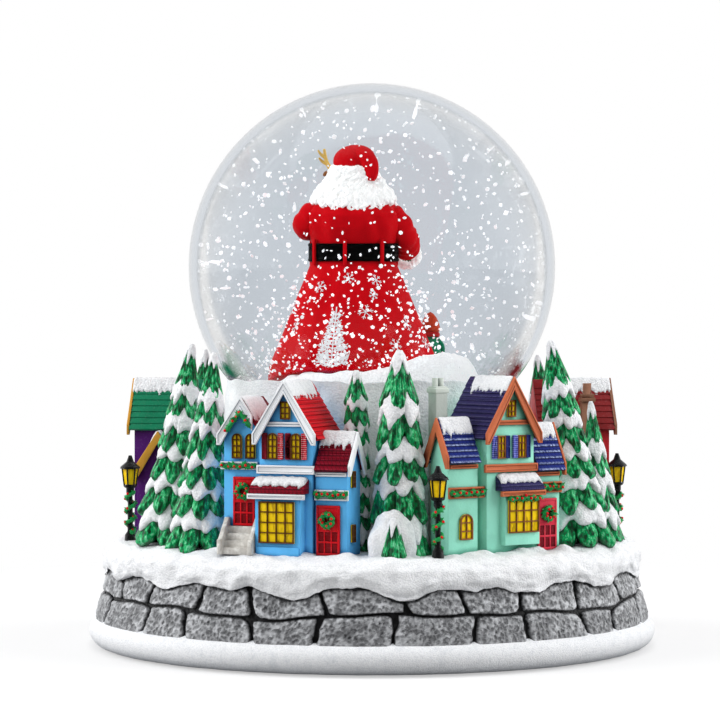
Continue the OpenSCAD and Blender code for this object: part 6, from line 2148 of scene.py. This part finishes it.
class SNOWGLOBE_OT_lamps(bpy.types.Operator):
    """Lamp posts with lit panes and garlands"""

    bl_idname = "snowglobe.lamps"
    bl_label = "Lamps"

    def execute(self, context):
        rng = random.Random(43)
        jet, soot = (0.008, 0.008, 0.009), (0.002, 0.002, 0.002)
        dress("lamp_posts", paint("lamp_black", jet, soot, 0.3, 0.3, 0.2, shine=0.35, thin=0.0))
        panes = bmesh.new()
        green = bmesh.new()
        low, high = POST_H + 1.2, POST_H + LANTERN_H - 2.8
        for arc, inset in LAMPS:
            place = stand(arc, PLATEAU_R - inset)
            at = place @ Matrix.Translation((0, 0, (low + high) / 2))
            bmesh.ops.create_cone(
                panes, cap_ends=True, segments=6, radius1=1.86, radius2=2.5, depth=high - low, matrix=at
            )
            path = []
            for i in range(57):
                share = i / 56
                path.append(place @ ring(POST_VINE, share * tau * 3.2, 2.6 + (POST_H - 3.6) * share))
            leaves_along(green, path, POST_VINE, rng, 9)
        soften(panes, 0.1)
        lit = {"Light": srgb(255, 212, 8), "Dark": srgb(196, 132, 4)}
        amber = surface("lamp_amber", "pane", lit, bump=0.1, shine=0.2)
        piece("lit_lanterns", panes, [amber], ("lamp_panes",), crease=35)
        piece("lamp_garlands", green, [FINISHES["garland_green"], FINISHES["berry_red"]])
        return {"FINISHED"}


# Underside and movement: node and metal
MOVEMENT = (
    ("cover_screws", "zinc"), ("movement_screws", "zinc"), ("movement_bedplate", "zinc"),
    ("governor_housing", "zinc"), ("spring_barrel", "brass"), ("mainspring", "spring"),
    ("note_comb", "steel"), ("winding_arbor", "steel"), ("winding_key", "brass"),
    ("tune_cylinder", "brass"), ("cylinder_arbor", "steel"),
)


class SNOWGLOBE_OT_underside(bpy.types.Operator):
    """Cover, felt, screws and winding movement"""

    bl_idname = "snowglobe.underside"
    bl_label = "Underside and movement"

    def execute(self, context):
        dull, soot = (0.02, 0.02, 0.022), (0.006, 0.006, 0.007)
        dress("bottom_cover", paint("cover_black", dull, soot, 0.4, 0.5, 0.3))
        pile = {"fine": 3200.0, "broad": 700.0}
        felt = paint("felt_green", srgb(24, 74, 48), srgb(8, 30, 18), 0.4, 0.95, 0.8, **pile)
        dress("felt_ring", felt)
        metals = {
            "zinc": metal("zinc", srgb(196, 200, 204), srgb(120, 124, 130)),
            "brass": metal("movement_brass", srgb(214, 178, 96), srgb(140, 104, 44)),
            "steel": metal("bright_steel", srgb(206, 208, 212), srgb(130, 134, 140)),
            "spring": metal("spring_steel", srgb(120, 130, 150), srgb(60, 66, 84)),
        }
        for node, kind in MOVEMENT:
            dress(node, metals[kind])
        return {"FINISHED"}


# Stage

FLOOR_R = 6.0
FELT_HALF = 0.0095
BACKDROP_GREY = (0.62, 0.66, 0.71, 1.0)
# Soft lamps: name, place, size and power
STUDIO_LAMPS = (
    ("left_light", (-1.6, -0.3, 0.95), 1.7, 30.0), ("right_light", (1.6, -0.25, 0.95), 1.7, 26.0),
    ("top_light", (0.0, 0.25, 2.0), 1.6, 9.0),
)
LAMP_AIM = (0.0, 0.0, 0.09)
CAMERA_SPOT = (-0.0039, -0.9, 0.107)
CAMERA_AIM = (-0.0039, 0.0, 0.0926)
CAMERA_LENS = 137.2


def backdrop_tone(tree, way):
    """Tone of the backdrop by direction: cool grey straight behind and far out to the sides."""
    parts = wire(tree, "ShaderNodeSeparateXYZ", {0: way}).outputs
    across = stretch(tree, value_of(tree, parts[0], "ABSOLUTE"), 0.955, 0.998)
    along = stretch(tree, value_of(tree, parts[1], "ABSOLUTE"), 0.755, 0.795)
    return blend_colours(tree, sum_of(tree, along, across, "MAXIMUM"), WHITE, BACKDROP_GREY)


def mirrored_rays(tree, rays):
    """Mask of rays that were mirrored on their way and never scattered."""
    bright = sum_of(tree, rays["Glossy Depth"], 0.5, "GREATER_THAN")
    return product_of(tree, bright, sum_of(tree, rays["Diffuse Depth"], 0.5, "LESS_THAN"))


def floor_finish():
    """White floor that keeps the object's shadow and is see-through from below."""
    material, tree, matte = new_material("floor_white")
    rays = tree.nodes.new("ShaderNodeLightPath").outputs
    pale = blend_colours(tree, rays["Is Camera Ray"], (0.34, 0.34, 0.34, 1.0), (0.86, 0.86, 0.87, 1.0))
    join(tree, matte, {"Roughness": 0.9, "Base Color": pale})
    spot = tree.nodes.new("ShaderNodeTexCoord").outputs["Object"]
    seen = sum_of(tree, rays["Is Camera Ray"], rays["Is Glossy Ray"], "MAXIMUM")
    seen = sum_of(tree, seen, rays["Is Transmission Ray"], "MAXIMUM")
    away = stretch(tree, along_axes(tree, spot, "LENGTH")["Value"], 0.1, 0.3, 0.5, 1.0)
    below = along_axes(tree, along_axes(tree, spot, "ADD", (0.0, 0.0, -BALL_Z * MM))[0], "NORMALIZE")[0]
    tone = blend_colours(tree, rays["Is Transmission Ray"], WHITE, backdrop_tone(tree, below))
    depth = wire(tree, "ShaderNodeSeparateXYZ", {0: spot}).outputs[1]
    dim = blend_values(tree, mirrored_rays(tree, rays), 1.0, stretch(tree, depth, -0.12, 0.2, 0.03, 1.0))
    glow = wire(tree, "ShaderNodeEmission", {"Color": tone, "Strength": dim}).outputs[0]
    lit = mix_shaders(tree, product_of(tree, seen, away), matte.outputs[0], glow)
    under = tree.nodes.new("ShaderNodeNewGeometry").outputs["Backfacing"]
    shown = mix_shaders(tree, under, lit, tree.nodes.new("ShaderNodeBsdfTransparent").outputs[0])
    tree.links.new(shown, tree.nodes["Material Output"].inputs["Surface"])
    return material


def lay_floor(scene):
    """Floor with a hole under the felt ring, so that the key can be seen from below."""
    ring_low, ring_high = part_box("felt_ring")
    hole = (ring_high[0] - ring_low[0]) / 2.0 - FELT_HALF
    bm = bmesh.new()
    bmesh.ops.create_circle(bm, cap_ends=False, segments=64, radius=hole)
    outward = bmesh.ops.extrude_edge_only(bm, edges=bm.edges[:])["geom"]
    rim = [vert for vert in outward if isinstance(vert, bmesh.types.BMVert)]
    bmesh.ops.scale(bm, vec=(FLOOR_R / hole, FLOOR_R / hole, 1.0), verts=rim)
    bm.normal_update()
    bmesh.ops.reverse_faces(bm, faces=[face for face in bm.faces if face.normal.z < 0.0])
    mesh = bpy.data.meshes.new("floor")
    bm.to_mesh(mesh)
    bm.free()
    mesh.materials.append(floor_finish())
    floor = bpy.data.objects.new("floor", mesh)
    scene.collection.objects.link(floor)


def light_world(scene):
    """Even studio light, with a backdrop of its own for mirrored, bent and camera rays."""
    world = bpy.data.worlds.new("studio")
    scene.world = world
    world.use_nodes = True
    tree = world.node_tree
    way = tree.nodes.new("ShaderNodeTexCoord").outputs["Generated"]
    parts = wire(tree, "ShaderNodeSeparateXYZ", {0: way}).outputs
    ahead = stretch(tree, parts[1], -0.75, 0.1)
    light = tree.nodes["Background"]
    join(tree, light, {"Color": WHITE, "Strength": stretch(tree, ahead, 0.0, 1.0, 0.47, 0.58)})
    boxes = stretch(tree, value_of(tree, parts[0], "ABSOLUTE"), 0.7, 0.95, 0.0, 1.6)
    mirrored = sum_of(tree, stretch(tree, parts[1], -0.1, 0.7, 0.04, 1.0), boxes)
    rays = tree.nodes.new("ShaderNodeLightPath").outputs
    dark_front = stretch(tree, parts[1], -0.3, 0.05, 0.02, 1.0)
    front = blend_values(tree, mirrored_rays(tree, rays), 1.0, dark_front)
    shown = light.outputs[0]
    for ray, tone, strength in (
        ("Is Glossy Ray", WHITE, mirrored), ("Is Transmission Ray", backdrop_tone(tree, way), front),
        ("Is Camera Ray", WHITE, 1.0),
    ):
        other = wire(tree, "ShaderNodeBackground", {"Color": tone, "Strength": strength})
        shown = mix_shaders(tree, rays[ray], shown, other.outputs[0])
    tree.links.new(shown, tree.nodes["World Output"].inputs["Surface"])


def aimed(scene, name, data, spot, aim):
    """Puts a lamp or a camera at a spot and turns it to its aim."""
    obj = bpy.data.objects.new(name, data)
    obj.location = spot
    obj.rotation_euler = (Vector(aim) - Vector(spot)).to_track_quat("-Z", "Y").to_euler()
    scene.collection.objects.link(obj)
    return obj


class SNOWGLOBE_OT_stage(bpy.types.Operator):
    """Floor, white surroundings, soft lamps and camera"""

    bl_idname = "snowglobe.stage"
    bl_label = "Stage"

    def execute(self, context):
        scene = context.scene
        scene.view_settings.view_transform = "Standard"
        lay_floor(scene)
        light_world(scene)
        for name, spot, size, power in STUDIO_LAMPS:
            lamp = bpy.data.lights.new(name, "AREA")
            lamp.shape = "DISK"
            lamp.size = size
            lamp.energy = power
            obj = aimed(scene, name, lamp, spot, LAMP_AIM)
            obj.visible_glossy = False
            obj.visible_transmission = False
        view = bpy.data.cameras.new("photo_camera")
        view.lens = CAMERA_LENS
        view.sensor_width = 36.0
        view.clip_start = 0.01
        scene.camera = aimed(scene, "photo_camera", view, CAMERA_SPOT, CAMERA_AIM)
        return {"FINISHED"}


STEPS = (
    SNOWGLOBE_OT_stage, SNOWGLOBE_OT_ball, SNOWGLOBE_OT_water, SNOWGLOBE_OT_flakes, SNOWGLOBE_OT_mound,
    SNOWGLOBE_OT_robe, SNOWGLOBE_OT_robe_print, SNOWGLOBE_OT_belt, SNOWGLOBE_OT_head, SNOWGLOBE_OT_toys,
    SNOWGLOBE_OT_stones, SNOWGLOBE_OT_snow, SNOWGLOBE_OT_pines, SNOWGLOBE_OT_blue_house,
    SNOWGLOBE_OT_mint_house, SNOWGLOBE_OT_side_houses, SNOWGLOBE_OT_lamps, SNOWGLOBE_OT_underside,
)


class SNOWGLOBE_PT_panel(bpy.types.Panel):
    """Lists the steps that dress the snow globe"""

    bl_idname = "SNOWGLOBE_PT_panel"
    bl_label = "Snow Globe"
    bl_space_type = "VIEW_3D"
    bl_region_type = "UI"
    bl_category = "Snow Globe"

    def draw(self, context):
        column = self.layout.column()
        for group in (context.scene.snow_globe_sizes, context.scene.snow_globe_colours):
            for key in group.__annotations__:
                column.prop(group, key)
        for step in STEPS:
            column.operator(step.bl_idname)


CLASSES = (SnowGlobeSizes, SnowGlobeColours) + STEPS + (SNOWGLOBE_PT_panel,)


def register():
    """Registers the classes and the properties of the scene."""
    for cls in CLASSES:
        bpy.utils.register_class(cls)
    bpy.types.Scene.snow_globe_sizes = bpy.props.PointerProperty(type=SnowGlobeSizes)
    bpy.types.Scene.snow_globe_colours = bpy.props.PointerProperty(type=SnowGlobeColours)


def unregister():
    """Removes the properties and the classes."""
    del bpy.types.Scene.snow_globe_colours
    del bpy.types.Scene.snow_globe_sizes
    for cls in reversed(CLASSES):
        bpy.utils.unregister_class(cls)


def main():
    """Dresses the frame step by step."""
    register()
    build_effects()
    bpy.ops.snowglobe.stage()
    bpy.ops.snowglobe.ball()
    bpy.ops.snowglobe.water()
    bpy.ops.snowglobe.flakes()
    bpy.ops.snowglobe.mound()
    bpy.ops.snowglobe.robe()
    bpy.ops.snowglobe.robe_print()
    bpy.ops.snowglobe.belt()
    bpy.ops.snowglobe.head()
    bpy.ops.snowglobe.toys()
    bpy.ops.snowglobe.stones()
    bpy.ops.snowglobe.snow()
    bpy.ops.snowglobe.pines()
    bpy.ops.snowglobe.blue_house()
    bpy.ops.snowglobe.mint_house()
    bpy.ops.snowglobe.side_houses()
    bpy.ops.snowglobe.lamps()
    bpy.ops.snowglobe.underside()
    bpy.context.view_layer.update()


if __name__ == "__main__":
    main()
